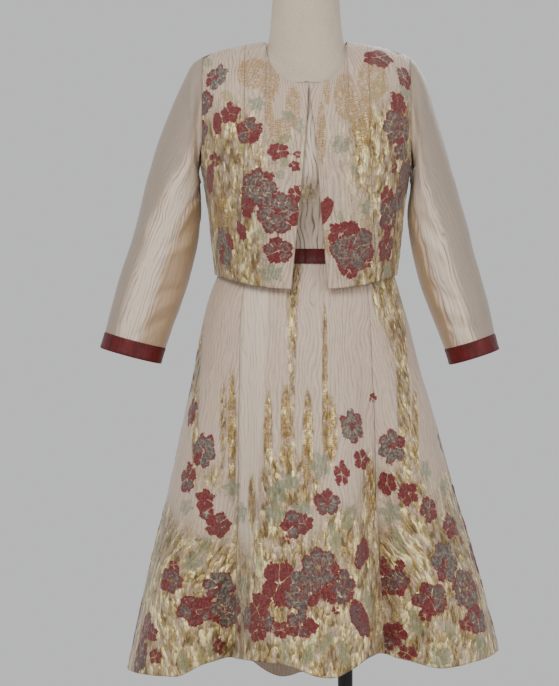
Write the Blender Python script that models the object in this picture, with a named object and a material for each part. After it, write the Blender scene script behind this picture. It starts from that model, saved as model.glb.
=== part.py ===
"""Brocade dress with a cropped open jacket, worn on a limbless dress form on a stand.

Metres, +Z up, the wearer's front faces -Y. The origin is the middle of the underside of the
stand's base. Left and right are as seen from the front, so left is -X. The garment and the form
share a middle that lies beside the pole, because the pole stands right of the form's middle.
Every cloth piece is a thin wall of its own, 0.3 to 0.4 mm from the next piece at each seam.
"""

import math
from collections import namedtuple

import bmesh
import bpy
from mathutils import Vector

# Driving sizes
GARMENT_X = -0.0636        # middle of the garment and the form, from the pole
CLOTH = 0.0013             # thickness of the brocade walls
BELT_CLOTH = 0.0016        # thickness of the satin belt and cuff bands
SEAM_GAP = 0.0004          # space left between pieces at a seam
HALF_SEAM = SEAM_GAP / 2
BUST_Z = 1.190             # height where the body starts to round over to the shoulders
WAIST_Z = 1.0405           # waist seam, under the middle of the belt
BELT_BOTTOM = 1.029
BELT_TOP = 1.052
ARMHOLE_TURN = 0.060       # height over which the side seam turns into the armhole
BODY_POWER = 2.5           # squareness of the body's rings, 2 is an ellipse
CHEST_MIDDLE = 0.045       # half width of the flat middle of the chest, and of the turn beside it
CHEST_TURN = 0.075
CHEST_POWER = 1.45         # roundness from bust to shoulder, in the middle and at the arms
FRONT_SHOULDER_POWER = 2.1
BACK_POWER = 2.6
BACK_SHOULDER_POWER = 2.3
NECK_SIDE = 0.066          # half width of the neckline at the shoulders
FRONT_NECK_POWER = 2.2     # squareness of the necklines
BACK_NECK_POWER = 2.6
JACKET_NECK_Z = 1.3105     # front of the jacket's neckline
BODICE_NECK_Z = 1.3030     # front of the dress's neckline, hidden by the jacket's
JACKET_BACK_NECK_Z = 1.3750
BODICE_BACK_NECK_Z = 1.3700
JACKET_ARM_X = 0.1665      # jacket armhole seam, from the middle
BODICE_ARM_X = 0.1535
FORM_ARM_X = 0.1495        # flat arm ends of the form
JACKET_SEAM_TOP = 0.098    # princess seam of the jacket, from the middle
JACKET_SEAM_HEM = 0.110
HEM_RISE = 0.026           # how far the jacket's hem rises to its side seams
JACKET_HEM_Z = 0.988
SKIRT_TOP_Z = WAIST_Z - SEAM_GAP / 2
BODICE_BOTTOM_Z = WAIST_Z + SEAM_GAP / 2
FORM_BOTTOM_Z = 0.760
POLE_RADIUS = 0.012
BASE_RADIUS = 0.180
BASE_THICKNESS = 0.010
BELT_SPACE = 0.0008        # room between the belt and what it lies on
BELT_STEP = 0.002          # height over which the belt passes from the skirt to the top
BOSS_RADIUS = 0.030
BOSS_HEIGHT = 0.035
CUFF_LENGTH = 0.026

FRONT = -1
BACK = 1
LEFT = -1
RIGHT = 1

BodyRow = namedtuple("BodyRow", "z half front back")
RidgeRow = namedtuple("RidgeRow", "x jacket bodice form")
NeckRow = namedtuple("NeckRow", "z half front back")
OpeningRow = namedtuple("OpeningRow", "z left right")
SkirtRow = namedtuple("SkirtRow", "z left right front back power")
FoldRow = namedtuple("FoldRow", "angle width depth")
HemRow = namedtuple("HemRow", "angle z")
SleeveRow = namedtuple("SleeveRow", "outer_x outer_z inner_x inner_z depth shift")

# Half width and depth of the form, at heights from its flat bottom to above the bust
FORM_ROWS = [
    BodyRow(0.760, 0.152, 0.094, 0.112),
    BodyRow(0.768, 0.160, 0.101, 0.121),
    BodyRow(0.800, 0.166, 0.105, 0.128),
    BodyRow(0.845, 0.167, 0.106, 0.128),
    BodyRow(0.900, 0.158, 0.101, 0.120),
    BodyRow(0.960, 0.145, 0.094, 0.107),
    BodyRow(1.000, 0.135, 0.090, 0.096),
    BodyRow(1.040, 0.129, 0.088, 0.090),
    BodyRow(1.080, 0.133, 0.094, 0.095),
    BodyRow(1.130, 0.142, 0.112, 0.101),
    BodyRow(1.165, 0.149, 0.127, 0.105),
    BodyRow(1.190, 0.152, 0.128, 0.1065),
    BodyRow(1.230, 0.157, 0.128, 0.1065),
    BodyRow(1.400, 0.162, 0.128, 0.1065),
]
BODICE_EASE = 0.0042       # the dress's outer side stands this far off the form
BODICE_ROWS = [BodyRow(row.z, row.half + BODICE_EASE, row.front + BODICE_EASE, row.back + BODICE_EASE)
               for row in FORM_ROWS]
# The jacket hangs straight from the bust and the shoulder blades
JACKET_ROWS = [
    BodyRow(0.980, 0.1450, 0.120, 0.116),
    BodyRow(1.015, 0.1470, 0.124, 0.118),
    BodyRow(1.060, 0.1535, 0.131, 0.119),
    BodyRow(1.109, 0.1575, 0.138, 0.120),
    BodyRow(1.134, 0.1610, 0.1405, 0.1205),
    BodyRow(1.160, 0.1655, 0.1415, 0.1205),
    BodyRow(1.190, 0.1705, 0.1405, 0.119),
    BodyRow(1.230, 0.1760, 0.1405, 0.119),
    BodyRow(1.300, 0.1800, 0.1405, 0.119),
    BodyRow(1.400, 0.1820, 0.1405, 0.119),
]
# Height of the shoulder line on each layer, from the middle to the tip; the layers are closest
# towards the tips, where the clothes rest on each other and on the form
RIDGE_ROWS = [
    RidgeRow(0.000, 1.3960, 1.3912, 1.3868),
    RidgeRow(0.040, 1.3935, 1.3887, 1.3843),
    RidgeRow(0.066, 1.3900, 1.3855, 1.3812),
    RidgeRow(0.100, 1.3845, 1.3814, 1.3784),
    RidgeRow(0.125, 1.3788, 1.3768, 1.3747),
    RidgeRow(0.141, 1.3745, 1.3725, 1.3704),
    RidgeRow(0.167, 1.3650, 1.3630, 1.3609),
    RidgeRow(0.190, 1.3540, 1.3520, 1.3499),
]
# The form's neck, which widens into the shoulders
NECK_ROWS = [
    NeckRow(1.270, 0.0900, 0.0760, 0.0620),
    NeckRow(1.310, 0.0850, 0.0740, 0.0610),
    NeckRow(1.345, 0.0750, 0.0680, 0.0580),
    NeckRow(1.372, 0.0655, 0.0635, 0.0560),
    NeckRow(1.390, 0.0608, 0.0610, 0.0550),
    NeckRow(1.405, 0.0590, 0.0598, 0.0545),
    NeckRow(1.430, 0.0565, 0.0580, 0.0545),
    NeckRow(1.460, 0.0545, 0.0565, 0.0540),
    NeckRow(1.497, 0.0540, 0.0560, 0.0535),
    NeckRow(1.500, 0.0515, 0.0535, 0.0510),
]
# Front edges of the jacket, which part from the neckline down
OPENING_ROWS = [
    OpeningRow(0.980, -0.0250, 0.0325),
    OpeningRow(1.061, -0.0175, 0.0260),
    OpeningRow(1.134, -0.0100, 0.0190),
    OpeningRow(1.207, -0.0040, 0.0145),
    OpeningRow(1.3105, 0.0022, 0.0042),
    OpeningRow(1.400, 0.0022, 0.0042),
]
# The skirt's reach to each side, from the waist seam to the hem
SKIRT_ROWS = [
    SkirtRow(1.0405, 0.1332, 0.1332, 0.0922, 0.0942, 2.50),
    SkirtRow(1.0290, 0.1350, 0.1350, 0.0935, 0.0965, 2.50),
    SkirtRow(1.0100, 0.1430, 0.1420, 0.0990, 0.1040, 2.45),
    SkirtRow(0.9880, 0.1525, 0.1490, 0.1050, 0.1120, 2.40),
    SkirtRow(0.9400, 0.1660, 0.1640, 0.1160, 0.1270, 2.30),
    SkirtRow(0.8670, 0.1790, 0.1830, 0.1310, 0.1460, 2.20),
    SkirtRow(0.7700, 0.2000, 0.2130, 0.1500, 0.1630, 2.10),
    SkirtRow(0.6720, 0.2190, 0.2390, 0.1690, 0.1770, 2.05),
    SkirtRow(0.5750, 0.2440, 0.2690, 0.1870, 0.1910, 2.00),
    SkirtRow(0.4780, 0.2660, 0.2970, 0.2050, 0.2060, 2.00),
    SkirtRow(0.3300, 0.2960, 0.3330, 0.2250, 0.2240, 2.00),
]
SKIRT_FOLD_START = 0.985   # the folds grow from here down to the hem
SKIRT_HEM_Z = 0.400
# Folds round the hem: angle from the front, spread, and depth out (+) or in (-)
FOLD_ROWS = [
    FoldRow(3.0, 14.0, 0.010),
    FoldRow(30.5, 8.5, -0.072),
    FoldRow(60.0, 13.0, 0.014),
    FoldRow(88.0, 9.0, -0.010),
    FoldRow(113.0, 12.0, 0.012),
    FoldRow(143.0, 9.0, -0.046),
    FoldRow(168.0, 9.0, 0.010),
    FoldRow(190.0, 8.0, -0.040),
    FoldRow(214.0, 11.0, 0.014),
    FoldRow(243.0, 9.0, -0.040),
    FoldRow(270.0, 12.0, 0.000),
    FoldRow(299.0, 13.0, 0.014),
    FoldRow(327.0, 10.5, -0.070),
]
# Height of the hem round the skirt: it dips in lobes between the folds, and lowest behind
HEM_ROWS = [
    HemRow(0.0, 0.4117),
    HemRow(5.0, 0.4031),
    HemRow(10.0, 0.4097),
    HemRow(15.0, 0.4248),
    HemRow(20.0, 0.4328),
    HemRow(27.0, 0.4265),
    HemRow(35.0, 0.4154),
    HemRow(42.0, 0.4052),
    HemRow(52.0, 0.4112),
    HemRow(68.0, 0.4168),
    HemRow(90.0, 0.4023),
    HemRow(113.0, 0.3920),
    HemRow(150.0, 0.3760),
    HemRow(163.0, 0.3450),
    HemRow(175.0, 0.3300),
    HemRow(187.0, 0.3250),
    HemRow(195.0, 0.3360),
    HemRow(204.0, 0.3640),
    HemRow(243.0, 0.3720),
    HemRow(270.0, 0.3737),
    HemRow(285.0, 0.3832),
    HemRow(300.0, 0.3893),
    HemRow(314.0, 0.3915),
    HemRow(321.0, 0.4135),
    HemRow(330.0, 0.4169),
    HemRow(343.0, 0.4250),
    HemRow(352.0, 0.4232),
    HemRow(360.0, 0.4117),
]
SEAM_ANGLE_WAIST = 39.0    # the two front seams of the skirt, in degrees from the front
LEFT_SEAM_ANGLE_HEM = 31.5
RIGHT_SEAM_ANGLE_HEM = 26.5
SEAM_BEND = 0.8            # how early the seams turn from their waist angle to their hem angle
SEAM_REACH_WAIST = 0.13    # distance of the seams from the middle, for their gaps
SEAM_REACH_HEM = 0.24
SKIRT_ROW_SPREAD = 1.3     # how much closer the skirt's rows are at the waist than at the hem

# Sleeves: highest and lowest side of each slanted ring, half depth, and shift forward
LEFT_SLEEVE_ROWS = [
    SleeveRow(-0.1840, 1.3520, -0.1735, 1.1740, 0.0640, 0.000),
    SleeveRow(-0.1990, 1.3235, -0.1715, 1.1570, 0.0640, 0.000),
    SleeveRow(-0.2200, 1.2766, -0.1700, 1.1340, 0.0625, 0.000),
    SleeveRow(-0.2430, 1.2150, -0.1710, 1.1050, 0.0600, 0.001),
    SleeveRow(-0.2620, 1.1420, -0.1735, 1.0725, 0.0580, 0.003),
    SleeveRow(-0.2800, 1.0725, -0.1814, 1.0336, 0.0560, 0.006),
    SleeveRow(-0.2997, 1.0125, -0.1944, 0.9850, 0.0540, 0.010),
    SleeveRow(-0.3140, 0.9590, -0.2120, 0.9360, 0.0520, 0.014),
    SleeveRow(-0.3235, 0.9205, -0.2262, 0.8945, 0.0505, 0.017),
]
RIGHT_SLEEVE_ROWS = [
    SleeveRow(0.1820, 1.3480, 0.1725, 1.1740, 0.0640, 0.000),
    SleeveRow(0.1960, 1.3200, 0.1700, 1.1570, 0.0640, 0.000),
    SleeveRow(0.2075, 1.2800, 0.1672, 1.1340, 0.0625, 0.000),
    SleeveRow(0.2250, 1.2200, 0.1655, 1.1050, 0.0600, 0.001),
    SleeveRow(0.2446, 1.1450, 0.1685, 1.0690, 0.0580, 0.003),
    SleeveRow(0.2620, 1.0820, 0.1750, 1.0336, 0.0560, 0.006),
    SleeveRow(0.2770, 1.0240, 0.1860, 0.9910, 0.0540, 0.010),
    SleeveRow(0.2930, 0.9670, 0.2040, 0.9430, 0.0520, 0.014),
    SleeveRow(0.3030, 0.9185, 0.2232, 0.8930, 0.0505, 0.017),
]

# Fineness of the meshes
UPPER_ROWS = 9             # rows of each torso piece above the bust line, alike on every layer
SLEEVE_POINTS = 2 * UPPER_ROWS
NECK_COLUMNS = 5           # columns from the middle to the neckline's end
SKIRT_STEP = 5.0           # degrees between the skirt's columns
SKIRT_ROW_COUNT = 14       # rows of each skirt panel
ROUND_POINTS = 48

# Colours, as linear values
LINEN = (0.53, 0.45, 0.38, 1.0)
BROCADE = (0.50, 0.41, 0.33, 1.0)
GOLD_BROCADE = (0.43, 0.34, 0.24, 1.0)
RED_SATIN = (0.10, 0.010, 0.009, 1.0)
BLACK_METAL = (0.015, 0.015, 0.016, 1.0)


def clear_scene():
    """Remove what the file holds."""
    for item in list(bpy.data.objects):
        bpy.data.objects.remove(item)


def mix(start, end, part):
    """Value between two others."""
    return start + (end - start) * part


def table_value(table, key, column):
    """Smooth value of a column, at a key that the table's first column holds."""
    keys = [row[0] for row in table]
    values = [getattr(row, column) for row in table]
    if keys[0] > keys[-1]:
        keys.reverse()
        values.reverse()
    if key <= keys[0]:
        return values[0]
    if key >= keys[-1]:
        return values[-1]
    spot = max(i for i in range(len(keys) - 1) if keys[i] <= key)
    width = keys[spot + 1] - keys[spot]
    part = (key - keys[spot]) / width
    start_slope = row_slope(keys, values, spot)
    end_slope = row_slope(keys, values, spot + 1)
    start_weight = 2 * part ** 3 - 3 * part ** 2 + 1
    return (start_weight * values[spot] + (1 - start_weight) * values[spot + 1]
            + (part ** 3 - 2 * part ** 2 + part) * width * start_slope
            + (part ** 3 - part ** 2) * width * end_slope)


def row_slope(keys, values, spot):
    """Slope at a row, level where the values turn back, so that no curve overshoots."""
    if spot == 0:
        return (values[1] - values[0]) / (keys[1] - keys[0])
    if spot == len(keys) - 1:
        return (values[-1] - values[-2]) / (keys[-1] - keys[-2])
    before = (values[spot] - values[spot - 1]) / (keys[spot] - keys[spot - 1])
    after = (values[spot + 1] - values[spot]) / (keys[spot + 1] - keys[spot])
    if before * after <= 0:
        return 0.0
    return 2 * before * after / (before + after)


def rounded(part, power):
    """Height of a rounded quarter over its base: 1 in the middle and 0 at its end."""
    return max(0.0, 1 - min(1.0, abs(part)) ** power) ** (1 / power)


# Body surfaces

Layer = namedtuple("Layer", "rows ridge arm_x front_neck_z back_neck_z")
FORM = Layer(FORM_ROWS, "form", FORM_ARM_X, None, None)
BODICE = Layer(BODICE_ROWS, "bodice", BODICE_ARM_X, BODICE_NECK_Z, BODICE_BACK_NECK_Z)
JACKET = Layer(JACKET_ROWS, "jacket", JACKET_ARM_X, JACKET_NECK_Z, JACKET_BACK_NECK_Z)


def ridge_z(layer, x):
    """Height of a layer's shoulder line."""
    return table_value(RIDGE_ROWS, abs(x), layer.ridge)


def shoulder_power(side, x):
    """Roundness from bust to shoulder: the chest slopes to the neck, the back is fuller."""
    outward = min(1.0, max(0.0, (abs(x) - CHEST_MIDDLE) / CHEST_TURN))
    if side == FRONT:
        return mix(CHEST_POWER, FRONT_SHOULDER_POWER, outward)
    return mix(BACK_POWER, BACK_SHOULDER_POWER, outward)


def body_depth(layer, side, x, z):
    """Distance of a layer's surface from the middle plane."""
    half = table_value(layer.rows, z, "half")
    column = "front" if side == FRONT else "back"
    depth = table_value(layer.rows, min(z, BUST_Z), column) * rounded(x / half, BODY_POWER)
    if z <= BUST_Z:
        return depth
    rise = (z - BUST_Z) / (ridge_z(layer, x) - BUST_Z)
    return depth * rounded(rise, shoulder_power(side, x))


def side_x(layer, z):
    """Outer edge of a torso piece: the side seam, and above the bust line the armhole."""
    seam = table_value(layer.rows, z, "half")
    if z <= BUST_Z:
        return seam
    start = table_value(layer.rows, BUST_Z, "half")
    climb = min(1.0, (z - BUST_Z) / ARMHOLE_TURN)
    return layer.arm_x + (start - layer.arm_x) * (1 - math.sin(climb * math.pi / 2)) ** 1.5


def neckline_z(layer, side, x):
    """Height of the neckline over a point of the front or the back."""
    top = ridge_z(layer, NECK_SIDE)
    low = layer.back_neck_z if side == BACK else layer.front_neck_z
    power = FRONT_NECK_POWER if side == FRONT else BACK_NECK_POWER
    return top - (top - low) * rounded(x / NECK_SIDE, power)


def top_z(layer, side, x):
    """Upper edge of a torso piece: neckline in the middle, shoulder seam beside it."""
    if layer.front_neck_z is None or abs(x) >= NECK_SIDE:
        return ridge_z(layer, x)
    return neckline_z(layer, side, x)


def torso_row(layer, side, x, bottom, row, lower_rows):
    """Height of a row's point: level rows up to the bust, then rounding over to the top."""
    if row <= lower_rows:
        return mix(bottom, BUST_Z, row / lower_rows)
    turn = (row - lower_rows) / UPPER_ROWS * math.pi / 2
    return mix(BUST_Z, top_z(layer, side, x), math.sin(turn))


def torso_point(layer, side, x, z, seam):
    """Point of a torso surface, kept off the seam at the side or the shoulder."""
    depth = max(body_depth(layer, side, x, z), seam)
    return Vector((x, side * depth, z))


def torso_grid(layer, side, inner_edge, outer_edge, shares, bottom_z, lower_rows):
    """Rows of points of a torso piece, between two edges given as functions of height."""
    grid = []
    for row in range(lower_rows + UPPER_ROWS + 1):
        line = []
        for share in shares:
            x = mix(inner_edge(BUST_Z), outer_edge(BUST_Z), share)
            for _ in range(6):
                z = torso_row(layer, side, x, bottom_z(x), row, lower_rows)
                x = mix(inner_edge(z), outer_edge(z), share)
            z = torso_row(layer, side, x, bottom_z(x), row, lower_rows)
            line.append(torso_point(layer, side, x, z, HALF_SEAM))
        grid.append(line)
    return grid


# Solids from rows of points

def face_normals(grid, middle, goes_round):
    """Outward direction at each point of a grid."""
    rows = len(grid)
    columns = len(grid[0])
    normals = []
    for row in range(rows):
        line = []
        for column in range(columns):
            above = grid[min(row + 1, rows - 1)][column]
            below = grid[max(row - 1, 0)][column]
            if goes_round:
                after = grid[row][(column + 1) % columns]
                before = grid[row][column - 1]
            else:
                after = grid[row][min(column + 1, columns - 1)]
                before = grid[row][max(column - 1, 0)]
            normal = (above - below).cross(after - before).normalized()
            if normal.dot(grid[row][column] - middle(row, column)) < 0:
                normal = -normal
            if abs(grid[row][column].y) < SEAM_GAP:
                normal = Vector((normal.x, 0.0, normal.z)).normalized()
            line.append(normal)
        normals.append(line)
    return normals


def moved(grid, normals, distance):
    """Grid moved along its outward directions."""
    return [[point + normal * distance for point, normal in zip(line, directions)]
            for line, directions in zip(grid, normals)]


def body_middle(grid):
    """Point inside the body, as seen from each point of a torso grid."""
    def middle(row, column):
        point = grid[row][column]
        return Vector((point.x * 0.6, 0.0, min(point.z, BUST_Z)))
    return middle


def wall_faces(rows, columns, goes_round):
    """Triangles of a wall: its outer side, its inner side, and its rims."""
    inside = rows * columns
    last = columns if goes_round else columns - 1
    faces = []
    for row in range(rows - 1):
        for column in range(last):
            a = row * columns + column
            b = row * columns + (column + 1) % columns
            c = b + columns
            d = a + columns
            faces += [(a, b, c), (a, c, d)]
            faces += [(a + inside, c + inside, b + inside), (a + inside, d + inside, c + inside)]
    for column in range(last):
        for row, flip in ((0, False), (rows - 1, True)):
            a = row * columns + column
            b = row * columns + (column + 1) % columns
            faces += rim(a, b, inside, flip)
    if not goes_round:
        for row in range(rows - 1):
            for column, flip in ((0, True), (columns - 1, False)):
                a = row * columns + column
                faces += rim(a, a + columns, inside, flip)
    return faces


def rim(a, b, inside, flip):
    """Two triangles that join an outer edge to the inner one."""
    quad = [(a, a + inside, b + inside), (a, b + inside, b)]
    if flip:
        return [tuple(reversed(face)) for face in quad]
    return quad


def add_solid(name, points, faces, material, parent):
    """One object from points and faces, with its faces turned outward."""
    mesh = bpy.data.meshes.new(name)
    mesh.from_pydata([tuple(point) for point in points], [], faces)
    body = bmesh.new()
    body.from_mesh(mesh)
    bmesh.ops.recalc_face_normals(body, faces=body.faces)
    body.to_mesh(mesh)
    body.free()
    mesh.shade_smooth()
    mesh.set_sharp_from_angle(angle=math.radians(40))
    mesh.materials.append(material)
    item = bpy.data.objects.new(name, mesh)
    item.parent = parent
    bpy.context.scene.collection.objects.link(item)
    return item


def add_wall(name, outer, inner, goes_round, material, parent):
    """Cloth wall between two grids of the same size."""
    points = [point for line in outer for point in line]
    points += [point for line in inner for point in line]
    faces = wall_faces(len(outer), len(outer[0]), goes_round)
    return add_solid(name, points, faces, material, parent)


def add_torso_wall(name, grid, material, parent):
    """Cloth wall whose outer side is a torso grid."""
    normals = face_normals(grid, body_middle(grid), False)
    return add_wall(name, grid, moved(grid, normals, -CLOTH), False, material, parent)


def new_material(name, colour, roughness, metallic=0.0):
    """Plain material of one colour."""
    material = bpy.data.materials.new(name)
    material.use_nodes = True
    shader = material.node_tree.nodes["Principled BSDF"]
    shader.inputs["Base Color"].default_value = colour
    shader.inputs["Roughness"].default_value = roughness
    shader.inputs["Metallic"].default_value = metallic
    return material


# Column places across a piece

def neck_places():
    """Columns from the middle to the neckline's end, closer together where it climbs."""
    return [NECK_SIDE * (1 - (1 - column / NECK_COLUMNS) ** 3) for column in range(NECK_COLUMNS + 1)]


def neck_shares(inner, outer, plain_columns):
    """Columns from the front edge to the princess seam."""
    places = neck_places()
    places[0] = inner
    for column in range(1, plain_columns + 1):
        places.append(mix(NECK_SIDE, outer, column / plain_columns))
    return [(place - inner) / (outer - inner) for place in places]


def side_shares(columns):
    """Columns towards a side seam, closer together where the surface turns."""
    return [math.sin(column / columns * math.pi / 2) for column in range(columns + 1)]


def whole_shares(half, side_columns):
    """Columns across a whole front or back, from side to side."""
    places = neck_places()
    places += [mix(NECK_SIDE, half, share) for share in side_shares(side_columns)[1:]]
    places = [-place for place in reversed(places[1:])] + places
    return [(place + half) / (2 * half) for place in places]


# Form and stand

def form_torso_mesh(material, parent):
    """Closed body of the form: front and back share the shoulder line and the sides."""
    lower_rows = 11
    shares = whole_shares(FORM_ARM_X, 6)
    left = lambda z: -side_x(FORM, z)
    right = lambda z: side_x(FORM, z)
    bottom = lambda x: FORM_BOTTOM_Z
    front = torso_grid(FORM, FRONT, left, right, shares, bottom, lower_rows)
    back = torso_grid(FORM, BACK, left, right, shares, bottom, lower_rows)
    rows = len(front)
    columns = len(shares)
    points = []
    numbers = {}
    for row in range(rows):
        for column in range(columns):
            for side, grid in ((FRONT, front), (BACK, back)):
                point = grid[row][column]
                on_seam = abs(point.y) < 2 * HALF_SEAM
                key = (row, column, 0 if on_seam else side)
                if key not in numbers:
                    numbers[key] = len(points)
                    points.append(Vector((point.x, 0.0, point.z)) if on_seam else point)
                numbers[(row, column, side)] = numbers[key]
    faces = []
    for row in range(rows - 1):
        for column in range(columns - 1):
            for side in (FRONT, BACK):
                corners = [numbers[(row, column, side)], numbers[(row, column + 1, side)],
                           numbers[(row + 1, column + 1, side)], numbers[(row + 1, column, side)]]
                faces += clean_faces(corners)
        for column in (0, columns - 1):
            corners = [numbers[(row, column, FRONT)], numbers[(row, column, BACK)],
                       numbers[(row + 1, column, BACK)], numbers[(row + 1, column, FRONT)]]
            faces += clean_faces(corners)
    bottom_ring = [numbers[(0, column, FRONT)] for column in range(columns)]
    bottom_ring += [numbers[(0, column, BACK)] for column in reversed(range(columns))]
    ring = list(dict.fromkeys(bottom_ring))
    faces.append(tuple(ring))
    return add_solid("form_torso", points, faces, material, parent)


def clean_faces(corners):
    """Triangles of a face with four corners, some of which may be the same point."""
    faces = []
    for face in ((corners[0], corners[1], corners[2]), (corners[0], corners[2], corners[3])):
        if len(set(face)) == 3:
            faces.append(face)
    return faces


def body_ring(half, front, back, power, points):
    """Flat ring of a rounded outline, from the front to the right and round."""
    ring = []
    for number in range(points):
        turn = number / points * 2 * math.pi
        across = math.copysign(abs(math.sin(turn)) ** (2 / power), math.sin(turn))
        along = math.copysign(abs(math.cos(turn)) ** (2 / power), math.cos(turn))
        depth = front if along > 0 else back
        ring.append(Vector((half * across, -depth * along, 0.0)))
    return ring


def add_neck(material, parent):
    """Closed neck of the form, which is joined to its torso."""
    count = 28
    points = []
    for row in NECK_ROWS:
        for point in body_ring(row.half, row.front, row.back, 2.0, count):
            points.append(point + Vector((0.0, 0.0, row.z)))
    faces = []
    for row in range(len(NECK_ROWS) - 1):
        for column in range(count):
            a = row * count + column
            b = row * count + (column + 1) % count
            faces += [(a, b, b + count), (a, b + count, a + count)]
    faces.append(tuple(reversed(range(count))))
    faces.append(tuple(range((len(NECK_ROWS) - 1) * count, len(NECK_ROWS) * count)))
    return add_solid("neck_tool", points, faces, material, parent)


def add_form(material, parent):
    """Torso and neck of the form as one body."""
    torso = form_torso_mesh(material, parent)
    neck = add_neck(material, parent)
    neck.hide_render = True
    neck.display_type = "WIRE"
    join = torso.modifiers.new("neck", "BOOLEAN")
    join.operation = "UNION"
    join.object = neck
    return torso


def add_turned(name, profile, material):
    """Round piece from radius and height pairs, from the bottom middle to the top middle."""
    points = []
    faces = []
    for radius, z in profile:
        for number in range(ROUND_POINTS):
            turn = number / ROUND_POINTS * 2 * math.pi
            points.append(Vector((radius * math.cos(turn), radius * math.sin(turn), z)))
    for row in range(len(profile) - 1):
        for column in range(ROUND_POINTS):
            a = row * ROUND_POINTS + column
            b = row * ROUND_POINTS + (column + 1) % ROUND_POINTS
            faces.append((a, b, b + ROUND_POINTS, a + ROUND_POINTS))
    faces.append(tuple(reversed(range(ROUND_POINTS))))
    faces.append(tuple(range((len(profile) - 1) * ROUND_POINTS, len(profile) * ROUND_POINTS)))
    return add_solid(name, points, faces, material, None)


def add_stand(material):
    """Round foot with its boss, and the pole that carries the form."""
    edge = 0.003
    foot = [
        (BASE_RADIUS - edge, 0.0),
        (BASE_RADIUS, edge),
        (BASE_RADIUS, BASE_THICKNESS - edge),
        (BASE_RADIUS - edge, BASE_THICKNESS),
        (BOSS_RADIUS, BASE_THICKNESS + edge),
        (BOSS_RADIUS * 0.8, BOSS_HEIGHT - edge),
        (BOSS_RADIUS * 0.7, BOSS_HEIGHT),
    ]
    add_turned("stand_base", foot, material)
    pole = [
        (POLE_RADIUS, BOSS_HEIGHT + SEAM_GAP),
        (POLE_RADIUS, FORM_BOTTOM_Z - SEAM_GAP),
    ]
    add_turned("stand_pole", pole, material)


# Dress

def add_bodice(material, parent):
    """Sleeveless top of the dress: one front, and two backs that meet in the middle."""
    lower_rows = 6
    bottom = lambda x: BODICE_BOTTOM_Z
    right = lambda z: side_x(BODICE, z)
    left = lambda z: -side_x(BODICE, z)
    shares = whole_shares(BODICE_ARM_X, 5)
    grid = torso_grid(BODICE, FRONT, left, right, shares, bottom, lower_rows)
    add_torso_wall("dress_bodice_front", grid, material, parent)
    for name, sign in (("left", LEFT), ("right", RIGHT)):
        middle = lambda z, sign=sign: sign * HALF_SEAM
        side = lambda z, sign=sign: sign * side_x(BODICE, z)
        half = [2 * share - 1 for share in shares if share >= 0.4999]
        grid = torso_grid(BODICE, BACK, middle, side, half, bottom, lower_rows)
        add_torso_wall("dress_bodice_back_" + name, grid, material, parent)


def fold_growth(z):
    """How far the skirt's folds have grown: none at the hip, whole at the hem."""
    part = (SKIRT_FOLD_START - z) / (SKIRT_FOLD_START - SKIRT_HEM_Z)
    return max(0.0, min(1.1, part)) ** 1.5


def fold_depth(angle):
    """Sum of the folds at an angle round the skirt."""
    total = 0.0
    for fold in FOLD_ROWS:
        away = (angle - fold.angle + 180) % 360 - 180
        total += fold.depth * math.exp(-(away / fold.width) ** 2)
    return total


def skirt_point(angle, row, rows):
    """Point of the skirt's outer side: row 0 is the waist seam, row 1 the belt's lower edge."""
    hem = table_value(HEM_ROWS, angle % 360, "z")
    z = SKIRT_TOP_Z
    if row > 0:
        z = mix(BELT_BOTTOM, hem, ((row - 1) / (rows - 1)) ** SKIRT_ROW_SPREAD)
    turn = math.radians(angle)
    side = "right" if math.sin(turn) >= 0 else "left"
    face = "front" if math.cos(turn) >= 0 else "back"
    power = table_value(SKIRT_ROWS, z, "power")
    across = math.copysign(abs(math.sin(turn)) ** (2 / power), math.sin(turn))
    along = math.copysign(abs(math.cos(turn)) ** (2 / power), math.cos(turn))
    fold = fold_depth(angle) * fold_growth(z)
    x = table_value(SKIRT_ROWS, z, side) * across + fold * math.sin(turn)
    y = -table_value(SKIRT_ROWS, z, face) * along - fold * math.cos(turn)
    return Vector((x, y, z))


def skirt_panel(start, end, columns, rows):
    """Outer grid of one skirt panel, between two seam angles given as functions of drop."""
    grid = []
    for row in range(rows + 1):
        drop = row / rows
        line = []
        for column in range(columns + 1):
            angle = mix(start(drop), end(drop), column / columns)
            line.append(skirt_point(angle, row, rows))
        grid.append(line)
    return grid


def left_seam(drop):
    """Angle of the skirt's left front seam."""
    return -mix(SEAM_ANGLE_WAIST, LEFT_SEAM_ANGLE_HEM, drop ** SEAM_BEND)


def right_seam(drop):
    """Angle of the skirt's right front seam."""
    return mix(SEAM_ANGLE_WAIST, RIGHT_SEAM_ANGLE_HEM, drop ** SEAM_BEND)


def seam_half_angle(drop):
    """Half of a seam's gap, as an angle."""
    reach = mix(SEAM_REACH_WAIST, SEAM_REACH_HEM, drop)
    return math.degrees(HALF_SEAM / reach)


def add_skirt(material, parent):
    """Five flared panels: three in front with two seams, two behind."""
    gap = seam_half_angle
    panels = [
        ("skirt_front_centre", lambda d: left_seam(d) + gap(d), lambda d: right_seam(d) - gap(d)),
        ("skirt_front_right", lambda d: right_seam(d) + gap(d), lambda d: 90 - gap(d)),
        ("skirt_back_right", lambda d: 90 + gap(d), lambda d: 180 - gap(d)),
        ("skirt_back_left", lambda d: 180 + gap(d), lambda d: 270 - gap(d)),
        ("skirt_front_left", lambda d: 270 + gap(d), lambda d: 360 + left_seam(d) - gap(d)),
    ]
    for name, start, end in panels:
        columns = round(abs(end(1.0) - start(1.0)) / SKIRT_STEP)
        grid = skirt_panel(start, end, columns, SKIRT_ROW_COUNT)
        middle = lambda row, column, grid=grid: Vector((0.0, 0.0, grid[row][column].z))
        normals = face_normals(grid, middle, False)
        add_wall(name, grid, moved(grid, normals, -CLOTH), False, material, parent)


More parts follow.
